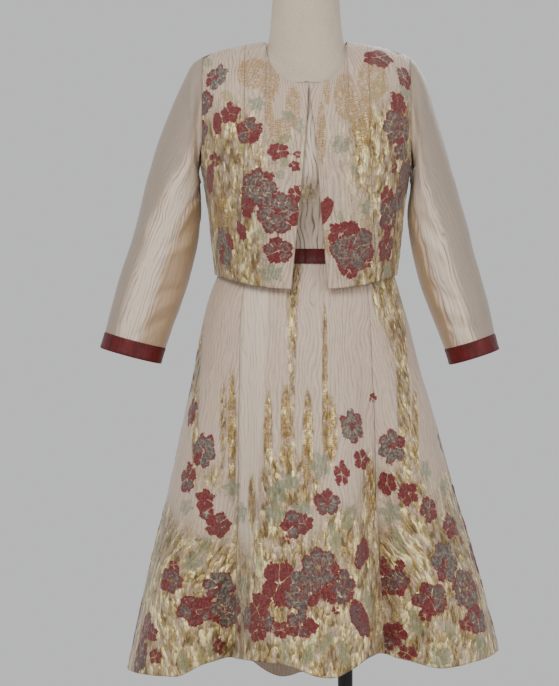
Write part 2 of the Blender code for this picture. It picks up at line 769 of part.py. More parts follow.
def add_belt(material, parent):
    """Satin belt round the waist seam."""
    count = 48
    outer = []
    inner = []
    for z in (BELT_BOTTOM, WAIST_Z - BELT_STEP, WAIST_Z + BELT_STEP, BELT_TOP):
        if z < WAIST_Z:
            half = table_value(SKIRT_ROWS, z, "left")
            front = table_value(SKIRT_ROWS, z, "front")
            back = table_value(SKIRT_ROWS, z, "back")
        else:
            half = table_value(BODICE_ROWS, z, "half")
            front = table_value(BODICE_ROWS, z, "front")
            back = table_value(BODICE_ROWS, z, "back")
        level = Vector((0.0, 0.0, z))
        for grid, out in ((inner, BELT_SPACE), (outer, BELT_SPACE + BELT_CLOTH)):
            ring = body_ring(half + out, front + out, back + out, BODY_POWER, count)
            grid.append([point + level for point in ring])
    add_wall("belt", outer, inner, True, material, parent)


# Jacket

def jacket_hem(x):
    """The jacket's hem rises from the front edges to the side seams."""
    return JACKET_HEM_Z + HEM_RISE * min(1.0, abs(x) / 0.150) ** 2.5


def jacket_seam(z):
    """Princess seam of the jacket, from the middle."""
    part = (z - JACKET_HEM_Z) / (BUST_Z - JACKET_HEM_Z)
    return mix(JACKET_SEAM_HEM, JACKET_SEAM_TOP, max(0.0, min(1.0, part)))


def add_jacket_body(material, side_material, parent):
    """Two fronts, two side fronts and one back; returns the rings of the two armholes."""
    lower_rows = 7
    left = lambda z: -side_x(JACKET, z)
    right = lambda z: side_x(JACKET, z)
    shares = whole_shares(JACKET_ARM_X, 5)
    back = torso_grid(JACKET, BACK, left, right, shares, jacket_hem, lower_rows)
    add_torso_wall("jacket_back", back, material, parent)
    armholes = {}
    for name, sign in (("left", LEFT), ("right", RIGHT)):
        opening = lambda z, name=name: table_value(OPENING_ROWS, z, name)
        seam_in = lambda z, sign=sign: sign * (jacket_seam(z) - HALF_SEAM)
        seam_out = lambda z, sign=sign: sign * (jacket_seam(z) + HALF_SEAM)
        side = lambda z, sign=sign: sign * side_x(JACKET, z)
        edge = sign * opening(JACKET_NECK_Z)
        shares = neck_shares(edge, JACKET_SEAM_TOP - HALF_SEAM, 3)
        grid = torso_grid(JACKET, FRONT, opening, seam_in, shares, jacket_hem, lower_rows)
        add_torso_wall("jacket_front_" + name, grid, material, parent)
        grid = torso_grid(JACKET, FRONT, seam_out, side, side_shares(5), jacket_hem, lower_rows)
        add_torso_wall("jacket_side_" + name, grid, side_material, parent)
        armholes[name] = armhole_ring(sign, grid, back, lower_rows)
    return armholes


def armhole_ring(sign, front, back, lower_rows):
    """Ring of the jacket's armhole, from its top down the front and up the back."""
    down = [front[row][-1] for row in range(lower_rows + UPPER_ROWS, lower_rows, -1)]
    up = [back[row][-1 if sign == RIGHT else 0] for row in range(lower_rows, lower_rows + UPPER_ROWS)]
    ring = [point + Vector((sign * SEAM_GAP, 0.0, 0.0)) for point in down + up]
    for number in (0, UPPER_ROWS):
        ring[number].y = 0.0
    return ring


def sleeve_ring(row):
    """Slanted oval ring of a sleeve."""
    outer = Vector((row.outer_x, 0.0, row.outer_z))
    inner = Vector((row.inner_x, 0.0, row.inner_z))
    middle = (outer + inner) / 2 + Vector((0.0, -row.shift, 0.0))
    reach = (outer - inner) / 2
    ring = []
    for number in range(SLEEVE_POINTS):
        turn = number / SLEEVE_POINTS * 2 * math.pi
        ring.append(middle + reach * math.cos(turn) + Vector((0.0, -row.depth * math.sin(turn), 0.0)))
    return ring


def add_sleeve(name, armhole, rows, cloth_material, band_material, parent):
    """Three quarter sleeve from the armhole down, and the satin band at its end."""
    grid = [armhole] + [sleeve_ring(row) for row in rows]
    middles = [sum(ring, Vector()) / len(ring) for ring in grid]
    middle = lambda row, column: middles[row]
    normals = face_normals(grid, middle, True)
    normals[0] = [Vector((0.0, normal.y, normal.z)).normalized() for normal in normals[0]]
    add_wall("sleeve_" + name, grid, moved(grid, normals, -CLOTH), True, cloth_material, parent)
    down = (middles[-1] - middles[-2]).normalized()
    band = []
    for part in (0.0, 0.5, 1.0):
        step = down * (SEAM_GAP + CUFF_LENGTH * part)
        band.append([point + step for point in grid[-1]])
    band_middle = lambda row, column: middles[-1] + down * CUFF_LENGTH * row / 2
    normals = face_normals(band, band_middle, True)
    add_wall("cuff_" + name, moved(band, normals, 0.0004), moved(band, normals, 0.0004 - BELT_CLOTH),
             True, band_material, parent)


def main():
    """Build the form, its stand, the dress and the jacket."""
    clear_scene()
    linen = new_material("linen", LINEN, 0.9)
    brocade = new_material("brocade", BROCADE, 0.45, 0.2)
    gold = new_material("gold_brocade", GOLD_BROCADE, 0.4, 0.3)
    satin = new_material("red_satin", RED_SATIN, 0.4)
    metal = new_material("black_metal", BLACK_METAL, 0.35, 0.8)
    place = bpy.data.objects.new("garment_place", None)
    place.location = (GARMENT_X, 0.0, 0.0)
    bpy.context.scene.collection.objects.link(place)
    add_stand(metal)
    add_form(linen, place)
    add_bodice(brocade, place)
    add_skirt(brocade, place)
    add_belt(satin, place)
    armholes = add_jacket_body(brocade, gold, place)
    add_sleeve("left", armholes["left"], LEFT_SLEEVE_ROWS, brocade, satin, place)
    add_sleeve("right", armholes["right"], RIGHT_SLEEVE_ROWS, brocade, satin, place)


main()
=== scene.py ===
"""Looks of the brocade dress and cropped open jacket on a limbless dress form.

Metres, +Z up, the wearer's front faces -Y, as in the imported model. The tables and the surface
functions give the same forms as the solids; every cloth piece is a finer wall on its solid's form,
with ripples, creases, turned edges and woven flowers. Places of creases and flowers are in pixels
of a picture that is 559 wide and 686 high, seen by the fixed camera below.
"""

import math
from collections import namedtuple

import bpy
import numpy as np
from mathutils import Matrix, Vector


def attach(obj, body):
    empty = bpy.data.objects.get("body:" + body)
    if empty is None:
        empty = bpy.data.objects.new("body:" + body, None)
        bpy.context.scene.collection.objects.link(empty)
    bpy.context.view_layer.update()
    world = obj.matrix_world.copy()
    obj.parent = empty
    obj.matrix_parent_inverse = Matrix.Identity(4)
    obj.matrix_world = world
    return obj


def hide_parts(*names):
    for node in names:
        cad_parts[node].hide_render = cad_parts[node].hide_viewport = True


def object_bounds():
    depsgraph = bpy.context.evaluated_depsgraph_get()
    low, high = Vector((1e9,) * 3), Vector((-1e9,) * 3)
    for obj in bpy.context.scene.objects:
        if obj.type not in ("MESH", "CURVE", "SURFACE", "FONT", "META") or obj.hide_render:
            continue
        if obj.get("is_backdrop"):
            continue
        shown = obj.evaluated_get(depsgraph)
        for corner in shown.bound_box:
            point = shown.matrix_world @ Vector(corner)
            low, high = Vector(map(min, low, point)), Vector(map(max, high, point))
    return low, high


# Driving sizes
GARMENT_X = -0.0636        # middle of the garment and the form, from the pole
CLOTH = 0.0013             # thickness of the brocade walls
BELT_CLOTH = 0.0016        # thickness of the satin belt and cuff bands
SEAM_GAP = 0.0004          # space left between pieces at a seam
HALF_SEAM = SEAM_GAP / 2
BUST_Z = 1.190             # height where the body starts to round over to the shoulders
WAIST_Z = 1.0405           # waist seam, under the middle of the belt
BELT_BOTTOM = 1.029
BELT_TOP = 1.052
ARMHOLE_TURN = 0.060       # height over which the side seam turns into the armhole
BODY_POWER = 2.5           # squareness of the body's rings, 2 is an ellipse
CHEST_MIDDLE = 0.045       # half width of the flat middle of the chest, and of the turn beside it
CHEST_TURN = 0.075
CHEST_POWER = 1.45         # roundness from bust to shoulder, in the middle and at the arms
FRONT_SHOULDER_POWER = 2.1
BACK_POWER = 2.6
BACK_SHOULDER_POWER = 2.3
NECK_SIDE = 0.066          # half width of the neckline at the shoulders
FRONT_NECK_POWER = 2.2     # squareness of the necklines
BACK_NECK_POWER = 2.6
JACKET_NECK_Z = 1.3105     # front of the jacket's neckline
BODICE_NECK_Z = 1.3030     # front of the dress's neckline, hidden by the jacket's
JACKET_BACK_NECK_Z = 1.3750
BODICE_BACK_NECK_Z = 1.3700
JACKET_ARM_X = 0.1665      # jacket armhole seam, from the middle
BODICE_ARM_X = 0.1535
JACKET_SEAM_TOP = 0.098    # princess seam of the jacket, from the middle
JACKET_SEAM_HEM = 0.110
HEM_RISE = 0.026           # how far the jacket's hem rises to its side seams
HEM_RISE_X = 0.150         # where it has risen, from the middle
HEM_RISE_POWER = 2.5
JACKET_HEM_Z = 0.988
SKIRT_TOP_Z = WAIST_Z - SEAM_GAP / 2
BODICE_BOTTOM_Z = WAIST_Z + SEAM_GAP / 2
BELT_SPACE = 0.0008        # room between the belt and what it lies on
CUFF_LENGTH = 0.026
CUFF_OUT = 0.0004          # how far a cuff's cloth stands off its solid
NECK_SEAM_Z = 1.3275       # seam round the base of the form's neck, and its dip in front
NECK_SEAM_DIP = 0.0125
NECK_SEAM_POINTS = 96
THREAD_RADIUS = 0.0006
HALF_STITCH = 0.0035
COVER_CELL = 0.005         # cells of the form's cover, before it is smoothed
SEAM_VALLEY = 0.0004       # depth and width of the valley along a seam
SEAM_VALLEY_WIDTH = 0.0018
EDGE_ROLL = 0.0007         # height, place and width of the roll along a free edge
EDGE_ROLL_PLACE = 0.0022
EDGE_ROLL_WIDTH = 0.0020
QUIET = 0.006              # distance from an edge over which the ripples grow
BELT_BEND = 0.005          # half the height over which the belt bends from the skirt to the top
FLOOR_RADIUS = 1.3
AIM_Z = 0.95               # height that the lights are aimed at

FRONT = -1
BACK = 1
LEFT = -1
RIGHT = 1
TAU = 2 * math.pi

BodyRow = namedtuple("BodyRow", "z half front back")
RidgeRow = namedtuple("RidgeRow", "x jacket bodice")
OpeningRow = namedtuple("OpeningRow", "z left right")
SkirtRow = namedtuple("SkirtRow", "z left right front back power")
FoldRow = namedtuple("FoldRow", "angle width depth")
HemRow = namedtuple("HemRow", "angle z")
SleeveRow = namedtuple("SleeveRow", "outer_x outer_z inner_x inner_z depth shift")


def table_of(kind, text):
    """Rows of a written table, with commas between the rows and spaces between the columns."""
    table = []
    for row in text.split(","):
        table.append(kind(*[word if word.isalpha() else float(word) for word in row.split()]))
    return table


# Half width and depth of the form, at heights from under the waist to above the bust
FORM_ROWS = table_of(BodyRow, """
    1.000 0.135 0.090 0.096, 1.040 0.129 0.088 0.090, 1.080 0.133 0.094 0.095,
    1.130 0.142 0.112 0.101, 1.165 0.149 0.127 0.105, 1.190 0.152 0.128 0.1065,
    1.230 0.157 0.128 0.1065, 1.400 0.162 0.128 0.1065""")
BODICE_EASE = 0.0042       # the dress's outer side stands this far off the form
BODICE_ROWS = [BodyRow(row.z, row.half + BODICE_EASE, row.front + BODICE_EASE, row.back + BODICE_EASE)
               for row in FORM_ROWS]
# The jacket hangs straight from the bust and the shoulder blades
JACKET_ROWS = table_of(BodyRow, """
    0.980 0.1450 0.120 0.116, 1.015 0.1470 0.124 0.118, 1.060 0.1535 0.131 0.119,
    1.109 0.1575 0.138 0.120, 1.134 0.1610 0.1405 0.1205, 1.160 0.1655 0.1415 0.1205,
    1.190 0.1705 0.1405 0.119, 1.230 0.1760 0.1405 0.119, 1.300 0.1800 0.1405 0.119,
    1.400 0.1820 0.1405 0.119""")
# Height of the shoulder line on each layer, from the middle to the tip; the layers are closest
# towards the tips, where the clothes rest on each other and on the form
RIDGE_ROWS = table_of(RidgeRow, """
    0.000 1.3960 1.3912, 0.040 1.3935 1.3887, 0.066 1.3900 1.3855, 0.100 1.3845 1.3814,
    0.125 1.3788 1.3768, 0.141 1.3745 1.3725, 0.167 1.3650 1.3630, 0.190 1.3540 1.3520""")
# Front edges of the jacket, which part from the neckline down
OPENING_ROWS = table_of(OpeningRow, """
    0.980 -0.0250 0.0325, 1.061 -0.0175 0.0260, 1.134 -0.0100 0.0190, 1.207 -0.0040 0.0145,
    1.3105 0.0022 0.0042, 1.400 0.0022 0.0042""")
# The skirt's reach to each side, from the waist seam to the hem
SKIRT_ROWS = table_of(SkirtRow, """
    1.0405 0.1332 0.1332 0.0922 0.0942 2.50, 1.0290 0.1350 0.1350 0.0935 0.0965 2.50,
    1.0100 0.1430 0.1420 0.0990 0.1040 2.45, 0.9880 0.1525 0.1490 0.1050 0.1120 2.40,
    0.9400 0.1660 0.1640 0.1160 0.1270 2.30, 0.8670 0.1790 0.1830 0.1310 0.1460 2.20,
    0.7700 0.2000 0.2130 0.1500 0.1630 2.10, 0.6720 0.2190 0.2390 0.1690 0.1770 2.05,
    0.5750 0.2440 0.2690 0.1870 0.1910 2.00, 0.4780 0.2660 0.2970 0.2050 0.2060 2.00,
    0.3300 0.2960 0.3330 0.2250 0.2240 2.00""")
SKIRT_FOLD_START = 0.985   # the folds grow from here down to the hem
SKIRT_HEM_Z = 0.400
# Folds round the hem: angle from the front, spread, and depth out (+) or in (-)
FOLD_ROWS = table_of(FoldRow, """
    3.0 14.0 0.010, 30.5 8.5 -0.072, 60.0 13.0 0.014, 88.0 9.0 -0.010, 113.0 12.0 0.012,
    143.0 9.0 -0.046, 168.0 9.0 0.010, 190.0 8.0 -0.040, 214.0 11.0 0.014, 243.0 9.0 -0.040,
    270.0 12.0 0.000, 299.0 13.0 0.014, 327.0 10.5 -0.070""")
# Height of the hem round the skirt: it dips in lobes between the folds, and lowest behind
HEM_ROWS = table_of(HemRow, """
    0.0 0.4117, 5.0 0.4031, 10.0 0.4097, 15.0 0.4248, 20.0 0.4328, 27.0 0.4265, 35.0 0.4154,
    42.0 0.4052, 52.0 0.4112, 68.0 0.4168, 90.0 0.4023, 113.0 0.3920, 150.0 0.3760, 163.0 0.3450,
    175.0 0.3300, 187.0 0.3250, 195.0 0.3360, 204.0 0.3640, 243.0 0.3720, 270.0 0.3737,
    285.0 0.3832, 300.0 0.3893, 314.0 0.3915, 321.0 0.4135, 330.0 0.4169, 343.0 0.4250,
    352.0 0.4232, 360.0 0.4117""")
SEAM_ANGLE_WAIST = 39.0    # the two front seams of the skirt, in degrees from the front
LEFT_SEAM_ANGLE_HEM = 31.5
RIGHT_SEAM_ANGLE_HEM = 26.5
SEAM_BEND = 0.8            # how early the seams turn from their waist angle to their hem angle
SEAM_REACH_WAIST = 0.13    # distance of the seams from the middle, for their gaps
SEAM_REACH_HEM = 0.24
SKIRT_ROW_SPREAD = 1.3     # how much closer the skirt's rows are at the waist than at the hem

# Sleeves: highest and lowest side of each slanted ring, half depth, and shift forward
LEFT_SLEEVE_ROWS = table_of(SleeveRow, """
    -0.1840 1.3520 -0.1735 1.1740 0.0640 0.000, -0.1990 1.3235 -0.1715 1.1570 0.0640 0.000,
    -0.2200 1.2766 -0.1700 1.1340 0.0625 0.000, -0.2430 1.2150 -0.1710 1.1050 0.0600 0.001,
    -0.2620 1.1420 -0.1735 1.0725 0.0580 0.003, -0.2800 1.0725 -0.1814 1.0336 0.0560 0.006,
    -0.2997 1.0125 -0.1944 0.9850 0.0540 0.010, -0.3140 0.9590 -0.2120 0.9360 0.0520 0.014,
    -0.3235 0.9205 -0.2262 0.8945 0.0505 0.017""")
RIGHT_SLEEVE_ROWS = table_of(SleeveRow, """
    0.1820 1.3480 0.1725 1.1740 0.0640 0.000, 0.1960 1.3200 0.1700 1.1570 0.0640 0.000,
    0.2075 1.2800 0.1672 1.1340 0.0625 0.000, 0.2250 1.2200 0.1655 1.1050 0.0600 0.001,
    0.2446 1.1450 0.1685 1.0690 0.0580 0.003, 0.2620 1.0820 0.1750 1.0336 0.0560 0.006,
    0.2770 1.0240 0.1860 0.9910 0.0540 0.010, 0.2930 0.9670 0.2040 0.9430 0.0520 0.014,
    0.3030 0.9185 0.2232 0.8930 0.0505 0.017""")
NECK_COLUMNS = 5           # columns of points over half of a neckline
UPPER_ROWS = 9             # rows of points from the bust to the shoulder
SIDE_COLUMNS = 5           # columns beside the neckline, and down a side front
BODICE_ROW_COUNT = 6       # rows of points up to the bust
JACKET_ROW_COUNT = 7
SLEEVE_POINTS = 2 * UPPER_ROWS
BELT_POINTS = 48
SKIRT_STEP = 5.0           # degrees between the skirt's columns at the hem
SKIRT_ROW_COUNT = 14

# Flat area of each cloth piece, in square metres
CLOTH_AREAS = {
    "skirt_back_left": 0.211, "skirt_back_right": 0.2105, "skirt_front_centre": 0.172,
    "skirt_front_left": 0.118, "skirt_front_right": 0.115, "jacket_back": 0.167,
    "jacket_front_left": 0.0366, "jacket_front_right": 0.0337, "jacket_side_left": 0.0441,
    "jacket_side_right": 0.0441, "sleeve_left": 0.126, "sleeve_right": 0.118,
    "dress_bodice_front": 0.1256, "dress_bodice_back_left": 0.0643,
    "dress_bodice_back_right": 0.0643, "cuff_left": 0.0080, "cuff_right": 0.0073, "belt": 0.0178,
}

# The fixed camera, and its picture of 559 by 686
CAMERA_X = -0.1065
CAMERA_Y = -3.0
CAMERA_Z = 0.97
LOOK_Z = 0.902             # height that the middle of the picture shows
FOCAL = 1852.0             # in pixels
PICTURE_MIDDLE_X = 279.5
PICTURE_MIDDLE_Y = 343.0
PICTURE_HEIGHT = 2 * PICTURE_MIDDLE_Y
PIXEL = 1.62               # millimetres in one pixel at the garment's middle
SENSOR = 36.0

# A flower's look: petals, waist between them, how red it is, size of its centre, whether it is a
# leaf, its tint, narrowness of a single petal or leaf, and whether it has an inner ring
Kind = namedtuple("Kind", "petals waist red core leaf tint long double", defaults=(0.0, False))
KINDS = {
    "grey": Kind(6, 0.72, 0.20, 0.22, False, 0.0),
    "mixed": Kind(5, 0.70, 0.45, 0.20, False, 0.3),
    "peony": Kind(7, 0.82, 0.34, 0.12, False, 0.2, 0.0, True),
    "purple": Kind(6, 0.80, 0.30, 0.10, False, 0.9, 0.0, True),
    "red": Kind(5, 0.62, 0.88, 0.25, False, 0.2),
    "petal": Kind(2, 0.50, 1.00, 0.10, False, 0.0, 0.50),
    "dark": Kind(2, 0.50, 0.55, 0.10, False, 0.9, 0.50),
    "sage": Kind(5, 0.42, 0.0, 0.0, True, 0.0),
    "leaf": Kind(1, 0.60, 0.0, 0.0, True, 0.3, 0.42),
    "olive": Kind(1, 0.60, 0.0, 0.0, True, 1.0, 0.50),
}
GOLDEN_TURN = 2.399        # turn from one flower to the next, in radians
WAVER = 0.07               # share of its reach by which a flower's outline wavers
WAVER_CELL = 6.0           # size of one waver, in millimetres
INNER_RING = 0.52          # share of its reach where a double flower's inner petals end
NO_FLOWER = -10.0          # distance inside a petal or a leaf, in millimetres, where there is none
NO_SPLIT = 9.0             # distance from the line between two petals, where there is none

# Flowers by their places in the picture, and their width in millimetres
Flower = namedtuple("Flower", "x y kind size tall", defaults=(1.0,))
JACKET_FLOWERS = table_of(Flower, """
    217 76 grey 46, 208 101 mixed 28 1.3, 229 112 red 36, 249 129 mixed 45, 227 94 olive 42 0.5,
    258 102 sage 30, 288 114 sage 26, 299 124 sage 22 1.3, 284 138 leaf 46 0.5,
    284 158 leaf 40 0.6, 278 149 red 38 0.75, 298 153 mixed 13, 294 165 red 18, 280 172 sage 20,
    259 185 peony 60, 278 211 peony 70, 296 191 red 28, 248 208 petal 34 0.9, 247 201 dark 44,
    242 230 dark 34, 210 179 dark 54, 224 247 grey 38 1.8, 229 240 petal 30, 278 248 mixed 52 0.85,
    271 271 sage 40 0.8, 262 232 leaf 30, 216 155 olive 30, 240 145 olive 38 0.6, 378 57 mixed 50,
    405 77 mixed 36 1.2, 399 103 red 38 1.2, 383 84 olive 44 0.5, 373 95 olive 34 0.6,
    393 123 olive 44 0.5, 341 143 sage 34, 354 166 sage 17 1.3, 401 149 grey 36,
    395 167 red 15 1.4, 324 208 petal 48, 352 245 peony 74 1.1, 340 231 red 42, 364 236 red 26,
    350 268 red 30, 365 260 red 22, 387 194 red 28 1.2, 389 213 purple 44 1.4,
    386 246 mixed 38 1.3, 387 270 sage 26 1.2, 365 205 sage 24, 340 215 leaf 26""")
SKIRT_FLOWERS = table_of(Flower, """
    192 411 mixed 34 1.5, 203 450 grey 44 1.3, 188 478 mixed 36 1.4, 204 497 red 34,
    206 510 mixed 26, 218 524 mixed 42, 172 578 mixed 44, 174 564 red 20, 220 584 grey 50,
    195 608 mixed 62 0.8, 226 610 peony 50, 237 604 grey 40, 152 632 red 28, 155 655 red 26,
    140 655 purple 44 1.5, 219 645 red 24 1.2, 213 650 leaf 34, 146 625 mixed 34 1.3,
    280 579 red 58 1.3, 301 587 peony 66, 320 564 peony 60, 258 605 red 44 1.2, 257 626 red 40,
    247 615 grey 36, 240 628 petal 22 0.6, 265 618 mixed 34, 300 622 mixed 46, 313 623 red 22,
    282 627 red 28, 330 590 red 32, 343 585 purple 40 1.4, 335 608 mixed 14, 296 521 mixed 46,
    286 523 red 14, 305 520 red 28, 287 536 red 15, 327 500 mixed 42, 342 472 red 26 1.5,
    352 425 grey 42 1.3, 361 457 red 34, 372 395 red 12 1.5, 392 446 grey 44 1.3,
    387 481 red 32 1.2, 409 492 red 34 1.2, 428 508 mixed 34 1.3, 451 525 mixed 40,
    461 538 red 12 1.4, 362 553 dark 46, 365 545 petal 36, 361 617 dark 62, 395 580 purple 46,
    400 563 red 20, 386 588 red 26, 445 560 grey 52 1.3, 432 597 mixed 56, 424 612 red 22,
    467 588 peony 60 1.1, 474 562 petal 44, 478 618 mixed 50, 467 623 red 26, 492 615 red 24 1.4,
    397 632 red 40, 385 642 purple 36, 408 650 red 34 0.7, 381 565 red 26 1.4, 320 461 sage 34 1.4,
    291 480 sage 34 0.9, 278 490 sage 34 1.3, 232 487 sage 32, 243 512 sage 32 1.2,
    275 512 sage 36, 302 508 sage 36, 193 560 sage 32, 186 505 sage 30, 244 583 sage 26 1.3,
    425 470 sage 26 1.6, 445 485 sage 30, 392 510 sage 38, 455 515 sage 30, 398 540 leaf 44,
    350 515 leaf 44, 335 535 leaf 50, 345 650 leaf 44, 308 650 leaf 44, 284 652 leaf 40,
    440 655 sage 40, 480 645 sage 34 1.2, 415 620 leaf 50, 184 660 leaf 44 0.8, 205 545 leaf 36,
    260 560 leaf 30, 370 600 leaf 50, 325 640 leaf 40, 450 630 leaf 40, 200 655 olive 36""")
SCATTERED_KINDS = [("grey", 44), ("peony", 62), ("mixed", 42), ("red", 32), ("sage", 34),
                   ("red", 26), ("leaf", 42), ("olive", 40), ("purple", 46), ("petal", 40),
                   ("sage", 30), ("mixed", 50)]

# Patches of short ochre threads: middle, half width and half height in the picture
Patch = namedtuple("Patch", "x y wide high")
OCHRE_PATCHES = table_of(Patch, """
    253 72 17 16, 270 80 10 22, 269 112 5 14, 293 105 8 22, 280 130 12 14, 321 130 4.5 34,
    327 90 3.5 14, 362 118 12 30, 345 95 12 24, 372 80 16 22, 222 210 8 18, 330 240 8 14,
    268 430 5 45, 286 425 6 50, 308 440 6 60, 252 500 4 30, 325 385 3 95, 232 430 5 70,
    368 500 5 60, 330 430 9 40, 415 430 4 50, 260 545 5 18, 350 560 8 40, 375 610 4 40""")


def mix(start, end, part):
    """Value between two others."""
    return start + (end - start) * part


def table_value(table, key, column):
    """Smooth value of a column, at a key that the table's first column holds."""
    keys = [row[0] for row in table]
    values = [getattr(row, column) for row in table]
    if keys[0] > keys[-1]:
        keys.reverse()
        values.reverse()
    if key <= keys[0]:
        return values[0]
    if key >= keys[-1]:
        return values[-1]
    spot = max(i for i in range(len(keys) - 1) if keys[i] <= key)
    width = keys[spot + 1] - keys[spot]
    part = (key - keys[spot]) / width
    start_slope = row_slope(keys, values, spot)
    end_slope = row_slope(keys, values, spot + 1)
    start_weight = 2 * part ** 3 - 3 * part ** 2 + 1
    return (start_weight * values[spot] + (1 - start_weight) * values[spot + 1]
            + (part ** 3 - 2 * part ** 2 + part) * width * start_slope
            + (part ** 3 - part ** 2) * width * end_slope)


def row_slope(keys, values, spot):
    """Slope at a row, level where the values turn back, so that no curve overshoots."""
    if spot == 0:
        return (values[1] - values[0]) / (keys[1] - keys[0])
    if spot == len(keys) - 1:
        return (values[-1] - values[-2]) / (keys[-1] - keys[-2])
    before = (values[spot] - values[spot - 1]) / (keys[spot] - keys[spot - 1])
    after = (values[spot + 1] - values[spot]) / (keys[spot + 1] - keys[spot])
    if before * after <= 0:
        return 0.0
    return 2 * before * after / (before + after)


def rounded(part, power):
    """Height of a rounded quarter over its base: 1 in the middle and 0 at its end."""
    return max(0.0, 1 - min(1.0, abs(part)) ** power) ** (1 / power)


# Body surfaces

Layer = namedtuple("Layer", "rows ridge arm_x front_neck_z back_neck_z")
BODICE = Layer(BODICE_ROWS, "bodice", BODICE_ARM_X, BODICE_NECK_Z, BODICE_BACK_NECK_Z)
JACKET = Layer(JACKET_ROWS, "jacket", JACKET_ARM_X, JACKET_NECK_Z, JACKET_BACK_NECK_Z)


def ridge_z(layer, x):
    """Height of a layer's shoulder line."""
    return table_value(RIDGE_ROWS, abs(x), layer.ridge)


def shoulder_power(side, x):
    """Roundness from bust to shoulder: the chest slopes to the neck, the back is fuller."""
    outward = min(1.0, max(0.0, (abs(x) - CHEST_MIDDLE) / CHEST_TURN))
    if side == FRONT:
        return mix(CHEST_POWER, FRONT_SHOULDER_POWER, outward)
    return mix(BACK_POWER, BACK_SHOULDER_POWER, outward)


def body_depth(layer, side, x, z):
    """Distance of a layer's surface from the middle plane."""
    half = table_value(layer.rows, z, "half")
    column = "front" if side == FRONT else "back"
    depth = table_value(layer.rows, min(z, BUST_Z), column) * rounded(x / half, BODY_POWER)
    if z <= BUST_Z:
        return depth
    rise = (z - BUST_Z) / (ridge_z(layer, x) - BUST_Z)
    return depth * rounded(rise, shoulder_power(side, x))


def side_x(layer, z):
    """Outer edge of a torso piece: the side seam, and above the bust line the armhole."""
    seam = table_value(layer.rows, z, "half")
    if z <= BUST_Z:
        return seam
    start = table_value(layer.rows, BUST_Z, "half")
    climb = min(1.0, (z - BUST_Z) / ARMHOLE_TURN)
    return layer.arm_x + (start - layer.arm_x) * (1 - math.sin(climb * math.pi / 2)) ** 1.5


def neckline_z(layer, side, x):
    """Height of the neckline over a point of the front or the back."""
    top = ridge_z(layer, NECK_SIDE)
    low = layer.back_neck_z if side == BACK else layer.front_neck_z
    power = FRONT_NECK_POWER if side == FRONT else BACK_NECK_POWER
    return top - (top - low) * rounded(x / NECK_SIDE, power)


def top_z(layer, side, x):
    """Upper edge of a torso piece: neckline in the middle, shoulder seam beside it."""
    if abs(x) >= NECK_SIDE:
        return ridge_z(layer, x)
    return neckline_z(layer, side, x)


def torso_row(layer, side, x, bottom, row, lower_rows):
    """Height of a row's point: level rows up to the bust, then rounding over to the top."""
    if row <= lower_rows:
        return mix(bottom, BUST_Z, row / lower_rows)
    turn = (row - lower_rows) / UPPER_ROWS * math.pi / 2
    return mix(BUST_Z, top_z(layer, side, x), math.sin(turn))


def torso_grid(layer, side, inner_edge, outer_edge, shares, bottom_z, lower_rows):
    """Rows of points of a torso piece, between two edges given as functions of height."""
    grid = []
    for row in range(lower_rows + UPPER_ROWS + 1):
        line = []
        for share in shares:
            x = mix(inner_edge(BUST_Z), outer_edge(BUST_Z), share)
            for _ in range(6):
                z = torso_row(layer, side, x, bottom_z(x), row, lower_rows)
                x = mix(inner_edge(z), outer_edge(z), share)
            z = torso_row(layer, side, x, bottom_z(x), row, lower_rows)
            depth = max(body_depth(layer, side, x, z), HALF_SEAM)
            line.append(Vector((x, side * depth, z)))
        grid.append(line)
    return grid


def fold_growth(z):
    """How far the skirt's folds have grown: none at the hip, whole at the hem."""
    part = (SKIRT_FOLD_START - z) / (SKIRT_FOLD_START - SKIRT_HEM_Z)
    return max(0.0, min(1.1, part)) ** 1.5


def fold_depth(angle):
    """Sum of the folds at an angle round the skirt."""
    total = 0.0
    for fold in FOLD_ROWS:
        away = (angle - fold.angle + 180) % 360 - 180
        total += fold.depth * math.exp(-(away / fold.width) ** 2)
    return total


def oval(turn, power):
    """Share to the right and to the front of a rounded outline's point, at an angle."""
    across = math.copysign(abs(math.sin(turn)) ** (2 / power), math.sin(turn))
    along = math.copysign(abs(math.cos(turn)) ** (2 / power), math.cos(turn))
    return across, along


def skirt_point(angle, row):
    """Point of the skirt's outer side: row 0 is the waist seam, row 1 the belt's lower edge."""
    hem = table_value(HEM_ROWS, angle % 360, "z")
    z = SKIRT_TOP_Z
    if row > 0:
        z = mix(BELT_BOTTOM, hem, ((row - 1) / (SKIRT_ROW_COUNT - 1)) ** SKIRT_ROW_SPREAD)
    turn = math.radians(angle)
    side = "right" if math.sin(turn) >= 0 else "left"
    face = "front" if math.cos(turn) >= 0 else "back"
    across, along = oval(turn, table_value(SKIRT_ROWS, z, "power"))
    fold = fold_depth(angle) * fold_growth(z)
    x = table_value(SKIRT_ROWS, z, side) * across + fold * math.sin(turn)
    y = -table_value(SKIRT_ROWS, z, face) * along - fold * math.cos(turn)
    return Vector((x, y, z))


def skirt_panel(start, end):
    """Outer grid of one skirt panel, between two seam angles given as functions of drop."""
    columns = round(abs(end(1.0) - start(1.0)) / SKIRT_STEP)
    grid = []
    for row in range(SKIRT_ROW_COUNT + 1):
        drop = row / SKIRT_ROW_COUNT
        angles = [mix(start(drop), end(drop), column / columns) for column in range(columns + 1)]
        grid.append([skirt_point(angle, row) for angle in angles])
    return grid


def left_seam(drop):
    """Angle of the skirt's left front seam."""
    return -mix(SEAM_ANGLE_WAIST, LEFT_SEAM_ANGLE_HEM, drop ** SEAM_BEND)


def right_seam(drop):
    """Angle of the skirt's right front seam."""
    return mix(SEAM_ANGLE_WAIST, RIGHT_SEAM_ANGLE_HEM, drop ** SEAM_BEND)


